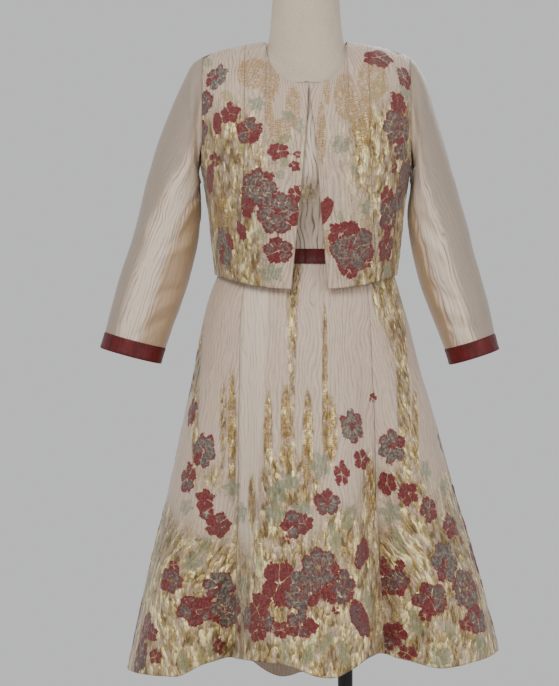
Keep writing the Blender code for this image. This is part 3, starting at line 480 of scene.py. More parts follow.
def seam_half_angle(drop):
    """Half of a seam's gap, as an angle."""
    reach = mix(SEAM_REACH_WAIST, SEAM_REACH_HEM, drop)
    return math.degrees(HALF_SEAM / reach)


def jacket_hem(x):
    """The jacket's hem rises from the front edges to the side seams."""
    return JACKET_HEM_Z + HEM_RISE * min(1.0, abs(x) / HEM_RISE_X) ** HEM_RISE_POWER


def jacket_seam(z):
    """Princess seam of the jacket, from the middle."""
    part = (z - JACKET_HEM_Z) / (BUST_Z - JACKET_HEM_Z)
    return mix(JACKET_SEAM_HEM, JACKET_SEAM_TOP, max(0.0, min(1.0, part)))


# Fineness of the cloth
CELL_ACROSS = 0.0026       # size of the fine cells, across and along the cloth
CELL_ALONG = 0.0032
PLAIN_CELL = 0.0055        # cells of the pieces that are nearly hidden
BELT_CELL = 0.004
NOISE_SIZE = 64            # cells after which the noise repeats


def noise(u, v, seed):
    """Smooth random value between -1 and 1 over a plane; the cells are one unit wide."""
    table = np.random.default_rng(seed).uniform(-1.0, 1.0, (NOISE_SIZE, NOISE_SIZE))
    left = np.floor(u).astype(int)
    low = np.floor(v).astype(int)
    across = u - left
    along = v - low
    across = across * across * (3 - 2 * across)
    along = along * along * (3 - 2 * along)
    corner = lambda i, j: table[(left + i) % NOISE_SIZE, (low + j) % NOISE_SIZE]
    lower = corner(0, 0) * (1 - across) + corner(1, 0) * across
    upper = corner(0, 1) * (1 - across) + corner(1, 1) * across
    return lower * (1 - along) + upper * along


def spline(points, places, closed):
    """Points of a smooth curve through rows of points, at places counted in rows."""
    count = len(points)
    base = np.clip(np.floor(places).astype(int), 0, count - 1 if closed else count - 2)
    part = places - base
    if closed:
        pick = lambda step: points[(base + step) % count]
    else:
        first = 2 * points[0] - points[1]
        last = 2 * points[-1] - points[-2]
        padded = np.concatenate([first[None], points, last[None]])
        pick = lambda step: padded[base + step + 1]
    part = part.reshape((-1,) + (1,) * (points.ndim - 1))
    before, here, after, beyond = pick(-1), pick(0), pick(1), pick(2)
    return 0.5 * (2 * here + (after - before) * part
                  + (2 * before - 5 * here + 4 * after - beyond) * part ** 2
                  + (3 * here - before - 3 * after + beyond) * part ** 3)


def even_places(points, step, closed):
    """Places along rows of points that are about one step apart on average."""
    line = np.concatenate([points, points[:1]]) if closed else points
    steps = np.linalg.norm(np.diff(line, axis=0), axis=2).mean(axis=1)
    travelled = np.concatenate([[0.0], np.cumsum(steps)])
    count = 2 * max(2, round(travelled[-1] / step / 2))
    wanted = np.linspace(0.0, travelled[-1], count + 1)
    places = np.interp(wanted, travelled, np.arange(len(travelled)))
    return places[:-1] if closed else places


def refined(grid, across, along, closed):
    """Fine grid on the form of a coarse one."""
    points = np.array([[tuple(point) for point in line] for line in grid])
    rows = even_places(points, along, False)
    points = spline(points, rows, False)
    turned = points.transpose(1, 0, 2)
    columns = even_places(turned, across, closed)
    return spline(turned, columns, closed).transpose(1, 0, 2)


def lengths(points, axis):
    """Distance travelled along an axis of a grid."""
    steps = np.linalg.norm(np.diff(points, axis=axis), axis=2)
    first = np.zeros_like(np.take(points[..., 0], [0], axis=axis))
    return np.concatenate([first, np.cumsum(steps, axis=axis)], axis=axis)


def outward(points, middle, closed):
    """Outward direction at each point of a grid."""
    down = np.gradient(points, axis=0)
    if closed:
        across = np.roll(points, -1, axis=1) - np.roll(points, 1, axis=1)
    else:
        across = np.gradient(points, axis=1)
    normal = np.cross(down, across)
    normal /= np.linalg.norm(normal, axis=2, keepdims=True) + 1e-12
    flip = np.sum(normal * (points - middle), axis=2, keepdims=True) < 0
    return np.where(flip, -normal, normal)


def grid_faces(rows, columns, closed, start, flip):
    """Triangles over a grid of numbered points."""
    last = columns if closed else columns - 1
    row, column = np.meshgrid(np.arange(rows - 1), np.arange(last), indexing="ij")
    a = start + row * columns + column
    b = start + row * columns + (column + 1) % columns
    c = b + columns
    d = a + columns
    faces = np.concatenate([np.stack([a, b, c], axis=-1).reshape(-1, 3),
                            np.stack([a, c, d], axis=-1).reshape(-1, 3)])
    return faces[:, ::-1] if flip else faces


def rim_faces(fine, coarse):
    """Triangles between a fine edge and one with half its steps."""
    faces = []
    for number in range(len(coarse) - 1):
        first, middle, last = fine[2 * number], fine[2 * number + 1], fine[2 * number + 2]
        near, far = coarse[number], coarse[number + 1]
        faces += [(first, near, middle), (middle, near, far), (middle, far, last)]
    return np.array(faces)


def wall_mesh(name, outer, inner, closed):
    """Closed wall from a fine outer grid and an inner grid with half its steps."""
    rows, columns = outer.shape[:2]
    few_rows, few_columns = inner.shape[:2]
    start = rows * columns
    points = np.concatenate([outer.reshape(-1, 3), inner.reshape(-1, 3)])
    fine = np.arange(start).reshape(rows, columns)
    coarse = start + np.arange(few_rows * few_columns).reshape(few_rows, few_columns)
    faces = [grid_faces(rows, columns, closed, 0, False),
             grid_faces(few_rows, few_columns, closed, start, True)]
    edges = []
    for row in (0, -1):
        edge, inside = fine[row], coarse[row]
        if closed:
            edge, inside = np.append(edge, edge[0]), np.append(inside, inside[0])
        edges.append((edge, inside, row == -1))
    if not closed:
        edges.append((fine[:, 0], coarse[:, 0], True))
        edges.append((fine[:, -1], coarse[:, -1], False))
    for edge, inside, flip in edges:
        strip = rim_faces(edge, inside)
        faces.append(strip[:, ::-1] if flip else strip)
    faces = np.concatenate(faces)
    mesh = bpy.data.meshes.new(name)
    mesh.vertices.add(len(points))
    mesh.vertices.foreach_set("co", points.ravel())
    mesh.loops.add(faces.size)
    mesh.loops.foreach_set("vertex_index", faces.ravel().astype(np.int32))
    mesh.polygons.add(len(faces))
    mesh.polygons.foreach_set("loop_start", np.arange(0, faces.size, 3, dtype=np.int32))
    mesh.update(calc_edges=True)
    return mesh


def set_field(mesh, name, outer, inner):
    """Store one value a point, for the materials."""
    field = mesh.attributes.new(name, "FLOAT", "POINT")
    values = np.concatenate([outer.ravel(), inner.ravel()]).astype(np.float32)
    field.data.foreach_set("value", values)


class Cloth:
    """One cloth piece: its fine grid, its cloth coordinates and its fields."""

    def __init__(self, name, grid, middle, closed, cell, seed):
        self.name = name
        self.kind = name.split("_")[0]
        self.closed = closed
        self.seed = seed
        self.points = refined(placed(grid), cell[0], cell[1], closed)
        self.normals = outward(self.points, middle(self.points), closed)
        across = lengths(self.points, 1)
        self.across = across - across[:, across.shape[1] // 2][:, None]
        self.along = lengths(self.points, 0)
        self.size = (float(across[:, -1].max()), float(self.along[-1].max()))
        self.lift = np.zeros(self.along.shape)
        self.crease = np.zeros(self.along.shape)
        self.fields = {}


# Woven flowers

def seen(points):
    """Places of points in the picture, and their distance, seen by the fixed camera."""
    depth = points[..., 1] - CAMERA_Y
    across = PICTURE_MIDDLE_X + (points[..., 0] - CAMERA_X) / depth * FOCAL
    down = PICTURE_MIDDLE_Y - (points[..., 2] - LOOK_Z) / depth * FOCAL
    return across, down, depth


def flower_fields(cloth, centre, kind, size, turn, seed, tall=1.0):
    """Draw one flower or leaf on a piece, in the plane that touches the cloth at its centre."""
    point, normal = centre
    side = np.cross(np.array([0.0, 0.0, 1.0]), normal)
    side /= np.linalg.norm(side) + 1e-9
    up = np.cross(normal, side)
    away = cloth.points - point
    near = (np.linalg.norm(away, axis=2) < size * max(1.0, tall)) & (cloth.normals @ normal > 0.15)
    if not near.any():
        return
    look = KINDS[kind]
    reach = size * 500  # half the width, in millimetres
    u = (away[near] @ side) * 1000
    v = (away[near] @ up) * 1000 / tall
    u = u + WAVER * reach * noise(u / WAVER_CELL + seed, v / WAVER_CELL, seed + 3)
    v = v + WAVER * reach * noise(u / WAVER_CELL, v / WAVER_CELL + seed, seed + 4)
    radius = np.hypot(u, v)
    angle = (np.arctan2(v, u) - turn) % TAU
    if look.long > 0:
        along = u * math.cos(turn) + v * math.sin(turn)
        over = -u * math.sin(turn) + v * math.cos(turn)
        outline = reach * 0.4 * (1 - (along / reach) ** 2 - (over / (reach * look.long)) ** 2)
    else:
        wave = np.abs(np.sin(look.petals * angle / 2)) ** 0.6
        outline = reach * (look.waist + (1 - look.waist) * wave) - radius
    outline = np.clip(outline, NO_FLOWER, 14.0)
    layer = "leaf" if look.leaf else "petal"
    fields = {name: values[near] for name, values in cloth.fields.items() if values.shape == near.shape}
    better = outline > fields[layer]
    new = {layer: outline, "leaf_tint" if look.leaf else "tint": look.tint}
    if not look.leaf:
        new.update(petal_details(look, reach, radius, angle, seed))
    for name, values in new.items():
        cloth.fields[name][near] = np.where(better, values, fields[name])


def petal_details(look, reach, radius, angle, seed):
    """Lines between petals, the centre, and how red each petal is."""
    rng = np.random.default_rng(seed)
    split = np.sin(look.petals * angle / 2) * radius
    petal = np.floor(angle / TAU * look.petals).astype(int) % look.petals
    reds = look.red + rng.uniform(-0.15, 0.15, look.petals)
    if look.petals > 2:
        reds[rng.integers(look.petals)] += 0.45
    red = reds[petal]
    if look.double:
        inner = radius < INNER_RING * reach
        ring = np.abs(radius - INNER_RING * reach) * 1.5 * np.where(split < 0, -1.0, 1.0)
        split = np.where(inner, np.sin(5 * (angle + 0.5) / 2) * radius, split)
        split = np.where(np.abs(ring) < np.abs(split), ring, split)
        red = np.where(inner, look.red + 0.12, red)
    if look.long > 0:
        split = np.full(radius.shape, NO_SPLIT)
    return {"split": np.clip(split, -NO_SPLIT, NO_SPLIT), "red": red,
            "core": np.clip(look.core * reach - radius, NO_FLOWER, 10.0)}


def nearest_front(cloths, px, py):
    """Point and outward direction of the cloth that the camera sees at a place."""
    best = None
    for cloth in cloths:
        across, down, depth = seen(cloth.points)
        away = np.hypot(across - px, down - py) + (depth - depth.min()) * 4
        away = np.where(cloth.normals[..., 1] > 0.25, 1e9, away)
        spot = np.unravel_index(np.argmin(away), away.shape)
        if best is None or away[spot] < best[0]:
            best = (away[spot], cloth.points[spot], cloth.normals[spot])
    return best[1], best[2]


def draw_placed(cloths, flowers, seed):
    """Draw the flowers whose places are known."""
    for number, flower in enumerate(flowers):
        centre = nearest_front(cloths, flower.x, flower.y)
        turn = (number * GOLDEN_TURN) % TAU
        if KINDS[flower.kind].long > 0:
            turn = math.pi / 2 + 0.5 * math.sin(number * 2.1)
        for cloth in cloths:
            flower_fields(cloth, centre, flower.kind, flower.size / 1000, turn, seed + number,
                          flower.tall)


def draw_scattered(cloths, count, gap, allowed, seed):
    """Draw like flowers where the picture doesn't show, at least a gap apart."""
    rng = np.random.default_rng(seed)
    places = []
    for _ in range(count * 6):
        cloth = cloths[rng.integers(len(cloths))]
        row = rng.integers(cloth.points.shape[0])
        column = rng.integers(cloth.points.shape[1])
        point = cloth.points[row, column]
        kind, size = SCATTERED_KINDS[rng.integers(len(SCATTERED_KINDS))]
        if not allowed(point, cloth.normals[row, column]):
            continue
        if any(np.linalg.norm(point - other) < gap for other in places):
            continue
        places.append(point)
        centre = (point, cloth.normals[row, column])
        for target in cloths:
            flower_fields(target, centre, kind, size / 1000, rng.uniform(0, TAU), seed + len(places))
        if len(places) == count:
            return


# Forms of the pieces

def torso_middle(points):
    """Points inside the body, one for each point of a torso piece."""
    middle = points * np.array([0.6, 0.0, 1.0])
    middle[..., 2] = np.minimum(points[..., 2], BUST_Z)
    middle[..., 0] += 0.4 * GARMENT_X
    return middle


def upright_middle(points):
    """Points on the garment's middle line, one for each point of a piece."""
    middle = points * np.array([0.0, 0.0, 1.0])
    middle[..., 0] = GARMENT_X
    return middle


def ring_middle(points):
    """Middles of a tube's rings."""
    return np.broadcast_to(points.mean(axis=1, keepdims=True), points.shape)


def placed(grid):
    """Grid moved from the garment's own middle to its place beside the pole."""
    shift = Vector((GARMENT_X, 0.0, 0.0))
    return [[point + shift for point in line] for line in grid]


def neck_places():
    """Columns from the middle to the neckline's end, closer together where it climbs."""
    return [NECK_SIDE * (1 - (1 - column / NECK_COLUMNS) ** 3) for column in range(NECK_COLUMNS + 1)]


def side_shares(columns):
    """Columns towards a side seam, closer together where the surface turns."""
    return [math.sin(column / columns * math.pi / 2) for column in range(columns + 1)]


def whole_shares(half, side_columns):
    """Columns across a whole front or back, from side to side."""
    places = neck_places()
    places += [mix(NECK_SIDE, half, share) for share in side_shares(side_columns)[1:]]
    places = [-place for place in reversed(places[1:])] + places
    return [(place + half) / (2 * half) for place in places]


def neck_shares(inner, outer, plain_columns):
    """Columns from the front edge to the princess seam."""
    places = neck_places()
    places[0] = inner
    for column in range(1, plain_columns + 1):
        places.append(mix(NECK_SIDE, outer, column / plain_columns))
    return [(place - inner) / (outer - inner) for place in places]


def bodice_grids():
    """Front and two backs of the dress's top."""
    bottom = lambda x: BODICE_BOTTOM_Z
    right = lambda z: side_x(BODICE, z)
    left = lambda z: -side_x(BODICE, z)
    shares = whole_shares(BODICE_ARM_X, SIDE_COLUMNS)
    grids = {"dress_bodice_front": torso_grid(BODICE, FRONT, left, right, shares, bottom,
                                              BODICE_ROW_COUNT)}
    half = [2 * share - 1 for share in shares if share >= 0.4999]
    for name, sign in (("left", LEFT), ("right", RIGHT)):
        middle = lambda z, sign=sign: sign * HALF_SEAM
        side = lambda z, sign=sign: sign * side_x(BODICE, z)
        grids["dress_bodice_back_" + name] = torso_grid(BODICE, BACK, middle, side, half, bottom,
                                                        BODICE_ROW_COUNT)
    return grids


def skirt_grids():
    """Five flared panels."""
    gap = seam_half_angle
    panels = {
        "skirt_front_centre": (lambda d: left_seam(d) + gap(d), lambda d: right_seam(d) - gap(d)),
        "skirt_front_right": (lambda d: right_seam(d) + gap(d), lambda d: 90 - gap(d)),
        "skirt_back_right": (lambda d: 90 + gap(d), lambda d: 180 - gap(d)),
        "skirt_back_left": (lambda d: 180 + gap(d), lambda d: 270 - gap(d)),
        "skirt_front_left": (lambda d: 270 + gap(d), lambda d: 360 + left_seam(d) - gap(d)),
    }
    return {name: skirt_panel(start, end) for name, (start, end) in panels.items()}


def jacket_grids():
    """Back, fronts and side fronts of the jacket."""
    left = lambda z: -side_x(JACKET, z)
    right = lambda z: side_x(JACKET, z)
    shares = whole_shares(JACKET_ARM_X, SIDE_COLUMNS)
    grids = {"jacket_back": torso_grid(JACKET, BACK, left, right, shares, jacket_hem, JACKET_ROW_COUNT)}
    for name, sign in (("left", LEFT), ("right", RIGHT)):
        opening = lambda z, name=name: table_value(OPENING_ROWS, z, name)
        seam_in = lambda z, sign=sign: sign * (jacket_seam(z) - HALF_SEAM)
        seam_out = lambda z, sign=sign: sign * (jacket_seam(z) + HALF_SEAM)
        side = lambda z, sign=sign: sign * side_x(JACKET, z)
        shares = neck_shares(sign * opening(JACKET_NECK_Z), JACKET_SEAM_TOP - HALF_SEAM, 3)
        grids["jacket_front_" + name] = torso_grid(JACKET, FRONT, opening, seam_in, shares,
                                                   jacket_hem, JACKET_ROW_COUNT)
        grids["jacket_side_" + name] = torso_grid(JACKET, FRONT, seam_out, side,
                                                  side_shares(SIDE_COLUMNS), jacket_hem,
                                                  JACKET_ROW_COUNT)
    return grids


def armhole_ring(sign, front, back, lower_rows):
    """Ring of the jacket's armhole, from its top down the front and up the back."""
    down = [front[row][-1] for row in range(lower_rows + UPPER_ROWS, lower_rows, -1)]
    up = [back[row][-1 if sign == RIGHT else 0] for row in range(lower_rows, lower_rows + UPPER_ROWS)]
    ring = [point + Vector((sign * SEAM_GAP, 0.0, 0.0)) for point in down + up]
    for number in (0, UPPER_ROWS):
        ring[number].y = 0.0
    return ring


def sleeve_ring(row):
    """Slanted oval ring of a sleeve."""
    outer = Vector((row.outer_x, 0.0, row.outer_z))
    inner = Vector((row.inner_x, 0.0, row.inner_z))
    middle = (outer + inner) / 2 + Vector((0.0, -row.shift, 0.0))
    reach = (outer - inner) / 2
    ring = []
    for number in range(SLEEVE_POINTS):
        turn = number / SLEEVE_POINTS * TAU
        ring.append(middle + reach * math.cos(turn) + Vector((0.0, -row.depth * math.sin(turn), 0.0)))
    return ring


def sleeve_grids(jacket):
    """Sleeves from the armholes down, and the paths of their cuffs."""
    grids = {}
    for name, sign, rows in (("left", LEFT, LEFT_SLEEVE_ROWS), ("right", RIGHT, RIGHT_SLEEVE_ROWS)):
        armhole = armhole_ring(sign, jacket["jacket_side_" + name], jacket["jacket_back"],
                               JACKET_ROW_COUNT)
        grid = [armhole] + [sleeve_ring(row) for row in rows]
        grids["sleeve_" + name] = grid
        middles = [sum(ring, Vector()) / len(ring) for ring in grid]
        down = (middles[-1] - middles[-2]).normalized()
        steps = [SEAM_GAP + CUFF_LENGTH * part for part in (0.0, 0.25, 0.5, 0.75, 1.0)]
        grids["cuff_" + name] = [[point + down * step for point in grid[-1]] for step in steps]
    return grids


def belt_grid():
    """Outer side of the belt, from its lower edge up."""
    out = BELT_SPACE + BELT_CLOTH
    grid = []
    for z in (BELT_BOTTOM, WAIST_Z - BELT_BEND, WAIST_Z + BELT_BEND, BELT_TOP):
        table, side = (SKIRT_ROWS, "left") if z < WAIST_Z else (BODICE_ROWS, "half")
        half, front, back = [table_value(table, z, column) + out for column in (side, "front", "back")]
        ring = []
        for number in range(BELT_POINTS):
            across, along = oval(number / BELT_POINTS * TAU, BODY_POWER)
            ring.append(Vector((half * across, -(front if along > 0 else back) * along, z)))
        grid.append(ring)
    return grid


# Ripples, creases and turned edges

MIRROR_X = 612             # twice the garment's middle in the picture
# Soft creases by their ends in the picture: width and height in millimetres, in is negative
Crease = namedtuple("Crease", "x0 y0 x1 y1 width lift")
LEFT_SLEEVE_CREASES = table_of(Crease, """
    196 214 168 250 9 -2.6, 192 238 158 262 8 2.2, 183 285 150 300 8 -2.2, 179 300 138 322 7 1.8,
    172 318 128 336 7 -1.8, 150 170 142 240 10 1.4, 186 150 176 205 9 1.6, 196 130 190 190 8 -1.8,
    138 262 122 310 8 1.2""")
RIGHT_SLEEVE_CREASES = table_of(Crease, """
    412 212 446 246 9 -2.6, 418 236 452 258 8 2.2, 426 284 462 300 8 -2.2, 432 300 474 320 7 1.8,
    440 318 482 334 7 -1.8, 456 170 466 240 10 1.4, 424 150 434 205 9 1.6, 414 130 420 190 8 -1.8,
    472 262 484 310 8 1.2""")
JACKET_CREASES = table_of(Crease, """
    208 150 232 190 8 -1.6, 207 172 226 214 8 1.4, 404 150 382 190 8 -1.6, 404 172 388 214 8 1.4,
    244 190 252 275 9 1.2, 372 190 366 278 9 1.2, 268 225 272 284 10 -1.2, 348 215 344 286 10 -1.2""")
SKIRT_CREASES = table_of(Crease, """
    326 290 330 480 7 -1.2, 268 420 262 640 16 1.6, 300 430 304 660 18 -1.6,
    345 440 352 650 16 1.6, 220 420 196 660 16 -1.8, 182 440 160 660 16 1.8,
    410 420 432 650 16 1.8, 432 430 468 640 16 -1.8""")


def soft_step(value, low, high):
    """Smooth rise from 0 to 1 between two values."""
    part = np.clip((value - low) / (high - low), 0.0, 1.0)
    return part * part * (3 - 2 * part)


def crease_lift(cloth, creases, shift=0.0):
    """Height of the creases over a piece, in metres."""
    x, y, _ = seen(cloth.points)
    total = np.zeros(x.shape)
    for number, crease in enumerate(creases):
        start = np.array([crease.x0, crease.y0 + shift])
        line = np.array([crease.x1 - crease.x0, crease.y1 - crease.y0], dtype=float)
        length = np.hypot(*line)
        line /= length
        along = (x - start[0]) * line[0] + (y - start[1]) * line[1]
        bend = 2.5 * np.sin(along / length * math.pi * 1.3 + number)
        over = ((x - start[0]) * -line[1] + (y - start[1]) * line[0] + bend) * PIXEL
        fade = soft_step(along, -6, 10) * soft_step(length - along, -6, 10)
        total += crease.lift / 1000 * fade * np.exp(-(over / crease.width) ** 2)
    return total


def mirrored(creases):
    """Like creases for the side that the picture doesn't show."""
    return [Crease(MIRROR_X - c.x0, c.y0 + 7, MIRROR_X - c.x1, c.y1 + 3, c.width * 1.1, c.lift * 0.9)
            for c in creases]


def add_creases(cloth, creases):
    """Creases of the front on the front, and like ones behind."""
    front = soft_step(-cloth.normals[..., 1], -0.25, 0.25)
    seen_lift = crease_lift(cloth, creases)
    behind = creases if cloth.kind == "sleeve" else mirrored(creases)
    hidden_lift = crease_lift(cloth, behind, 9.0)
    cloth.crease = seen_lift * front + hidden_lift * (1 - front)


def add_ripples(cloth, spacing, height):
    """Wavy upright ripples of the woven ground."""
    u, v, seed = cloth.across, cloth.along, cloth.seed
    warp = noise(u / 0.030, v / 0.065, seed) * 0.0075 + noise(u / 0.012, v / 0.024, seed + 1) * 0.0036
    phase = (u + warp) / spacing
    strength = 0.65 + 0.35 * noise(u / 0.045, v / 0.080, seed + 2)
    cloth.fields["phase"] = phase
    cloth.lift += height * strength * (0.5 + 0.5 * np.cos(TAU * phase))


def add_crinkles(cloth, gold, height):
    """Crumpled ridges, strongest where gold thread draws the cloth together."""
    u, v, seed = cloth.across, cloth.along, cloth.seed
    x = cloth.points[..., 0] - GARMENT_X
    rise = cloth.along[-1] - cloth.along
    low = soft_step(-cloth.points[..., 2], -0.64, -0.50)
    slant = 0.30 * low * (soft_step(x, 0.04, 0.17) - soft_step(-x, 0.06, 0.20))
    bend = noise(u / 0.014, v / 0.026, seed + 5) * 0.006
    ridges = noise((u + bend - rise * slant) / 0.0046, v / 0.024, seed + 6)
    ridges += 0.6 * noise((u - bend - rise * slant) / 0.0090, v / 0.040, seed + 7)
    cloth.fields["gold"] = gold
    cloth.fields["slide"] = -rise * slant
    cloth.fields["crinkle"] = ridges
    cloth.lift += height * (0.22 + 0.78 * gold) * np.clip(ridges, -0.5, 1.2)


def add_sleeve_bands(cloth):
    """Bright band of wavy lines along a sleeve, its brightness a painted sheen, with painted shade
    towards the outer side, gold-brown that is partly painted shade on the inner side, and the long
    crease on the inner side.
    """
    middle = cloth.points.mean(axis=1, keepdims=True)
    outer = cloth.points[:, :1] - middle
    side = np.sum((cloth.points - middle) * outer, axis=2) / np.sum(outer * outer, axis=2)
    share = cloth.along / cloth.along[-1]
    waver = 0.05 * noise(cloth.along / 0.045, share * 3 + 0.5, cloth.seed + 9)
    waver += 0.025 * noise(cloth.along / 0.011, side * 2 + 0.5, cloth.seed + 10)
    low_place, half = (0.15, 0.34) if cloth.name.endswith("left") else (-0.28, 0.31)
    centre = -0.60 + (low_place + 0.60) * soft_step(share, 0.15, 0.65) + waver
    away = np.abs(side - centre) - half
    band = soft_step(-away, -0.03, 0.10) * soft_step(share, 0.02, 0.12)
    inner = soft_step(centre - half - side, 0.0, 0.05)
    fade = soft_step(share, 0.10, 0.30)
    # Painted sheen in the bright band, and painted shade towards the sleeve's outer side
    cloth.fields["tone"] = 1.1 * band - 0.95 * soft_step(side - centre - half, 0.0, 0.22)
    # Gold-brown beside the inner crease: partly the thread's colour, partly painted shade
    cloth.fields["warm"] = fade * inner * soft_step(side, -1.02, -0.80)
    bounds = np.exp(-(away / 0.10) ** 2)
    cloth.fields["lines"] = (0.12 + 0.40 * band + 0.60 * bounds) * soft_step(share, 0.08, 0.20)
    cloth.lift *= (0.20 + 0.50 * band + 0.60 * bounds) * soft_step(share, 0.02, 0.12)
    cloth.crease += 0.0022 * fade * np.exp(-((side - centre - 0.6 * half) / 0.10) ** 2)
    cloth.crease -= 0.0024 * fade * np.exp(-((side - centre + half) / 0.045) ** 2)
    cloth.crease += 0.0012 * fade * np.exp(-((side - centre + half + 0.12) / 0.06) ** 2)


def fold_window(distance, near, wide):
    """Height from 0 to 1 of a fold at some distance from a seam."""
    return np.exp(-((distance - near) / wide) ** 2) * soft_step(distance, 0.0, near)


def add_pleats(cloth):
    """Folds beside the front seams of the skirt: a ridge on one side and a groove on the other, with
    painted light on the centre panel beside both seams.
    """
    low = soft_step(-cloth.points[..., 2], -0.86, -0.62)
    first = side_distance(cloth, "first")
    last = side_distance(cloth, "last")
    if cloth.name == "skirt_front_centre":
        cloth.crease += low * 0.0055 * fold_window(last, 0.009, 0.013)
        cloth.crease += low * 0.0030 * fold_window(first, 0.010, 0.014)
        # Painted light: pale bands on the centre panel beside both seams, where its folds face the
        # light
        cloth.fields["tone"] += 0.80 * low * soft_step(-last, -0.034, -0.024)
        cloth.fields["tone"] += 0.80 * soft_step(-np.abs(first - 0.024), -0.026, -0.016)
    if cloth.name == "skirt_front_right":
        cloth.crease -= low * 0.0065 * fold_window(first, 0.008, 0.011)
        cloth.crease += low * 0.0040 * fold_window(first, 0.036, 0.014)
    if cloth.name == "skirt_front_left":
        cloth.crease -= low * 0.0045 * fold_window(last, 0.008, 0.011)
        cloth.crease += low * 0.0030 * fold_window(last, 0.036, 0.014)
    if cloth.name.startswith("skirt_back"):
        for side in (first, last):
            cloth.crease += low * 0.0035 * fold_window(side, 0.012, 0.014)


def side_distance(cloth, side):
    """Distance of each point from one side of its piece."""
    across = cloth.across - cloth.across[:, :1]
    if side == "start":
        return cloth.along
    if side == "end":
        return cloth.along[-1] - cloth.along
    if side == "first":
        return across
    return across[:, -1:] - across


def add_edges(cloth, seams, free):
    """Valleys along the seams, and rolled edges where the cloth ends."""
    far = np.full(cloth.along.shape, 0.05)
    seam = far.copy()
    for side in seams:
        seam = np.minimum(seam, side_distance(cloth, side))
    end = far.copy()
    for side in free:
        end = np.minimum(end, side_distance(cloth, side))
    quiet = soft_step(np.minimum(seam, end), 0.0, QUIET)
    cloth.lift *= 0.25 + 0.75 * quiet
    cloth.lift -= SEAM_VALLEY * np.exp(-(seam / SEAM_VALLEY_WIDTH) ** 2)
    cloth.lift += EDGE_ROLL * np.exp(-((end - EDGE_ROLL_PLACE) / EDGE_ROLL_WIDTH) ** 2)
    cloth.fields["seam"] = seam * 1000
    cloth.fields["end"] = end * 1000


# Values on the inner side of the cloth, which is plain, with a little grey-tan and gold-brown as
# painted shade
INSIDE_FIELDS = {"petal": NO_FLOWER, "leaf": NO_FLOWER, "gold": 0.05, "ochre": 0.0, "tone": -0.1,
                 "warm": 0.2}


def add_item(name, data):
    """New object in the scene."""
    item = bpy.data.objects.new(name, data)
    bpy.context.scene.collection.objects.link(item)
    return item


def finished(cloth, thickness, material):
    """Make the piece's wall, with its fields, and put it into the scene."""
    lift = cloth.lift + cloth.crease
    outer = cloth.points + cloth.normals * lift[..., None]
    inner = cloth.points + cloth.normals * (cloth.crease - thickness)[..., None]
    step = slice(None, None, 2)
    mesh = wall_mesh(cloth.name + "_cloth", outer, inner[step, step], cloth.closed)
    cloth.fields["across"] = cloth.across
    cloth.fields["along"] = cloth.along
    for name, values in cloth.fields.items():
        inside = values[step, step]
        if name in INSIDE_FIELDS:
            inside = np.full(inside.shape, INSIDE_FIELDS[name])
        set_field(mesh, name, values, inside)
    mesh.shade_smooth()
    mesh.set_sharp_from_angle(angle=math.radians(60))
    mesh.materials.append(material)
    item = add_item(cloth.name + "_cloth", mesh)
    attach(item, "root")
    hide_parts(cloth.name)
    return item


# Materials

class Value:
    """Output of a node. Sums and products of values make more nodes."""

    def __init__(self, graph, socket):
        self.graph = graph
        self.socket = socket

    def __add__(self, other):
        return self.graph.math("ADD", self, other)

    def __sub__(self, other):
        return self.graph.math("SUBTRACT", self, other)

    def __rsub__(self, other):
        return self.graph.math("SUBTRACT", other, self)

    def __mul__(self, other):
        return self.graph.math("MULTIPLY", self, other)

    def __truediv__(self, other):
        return self.graph.math("DIVIDE", self, other)

    def __abs__(self):
        return self.graph.math("ABSOLUTE", self)


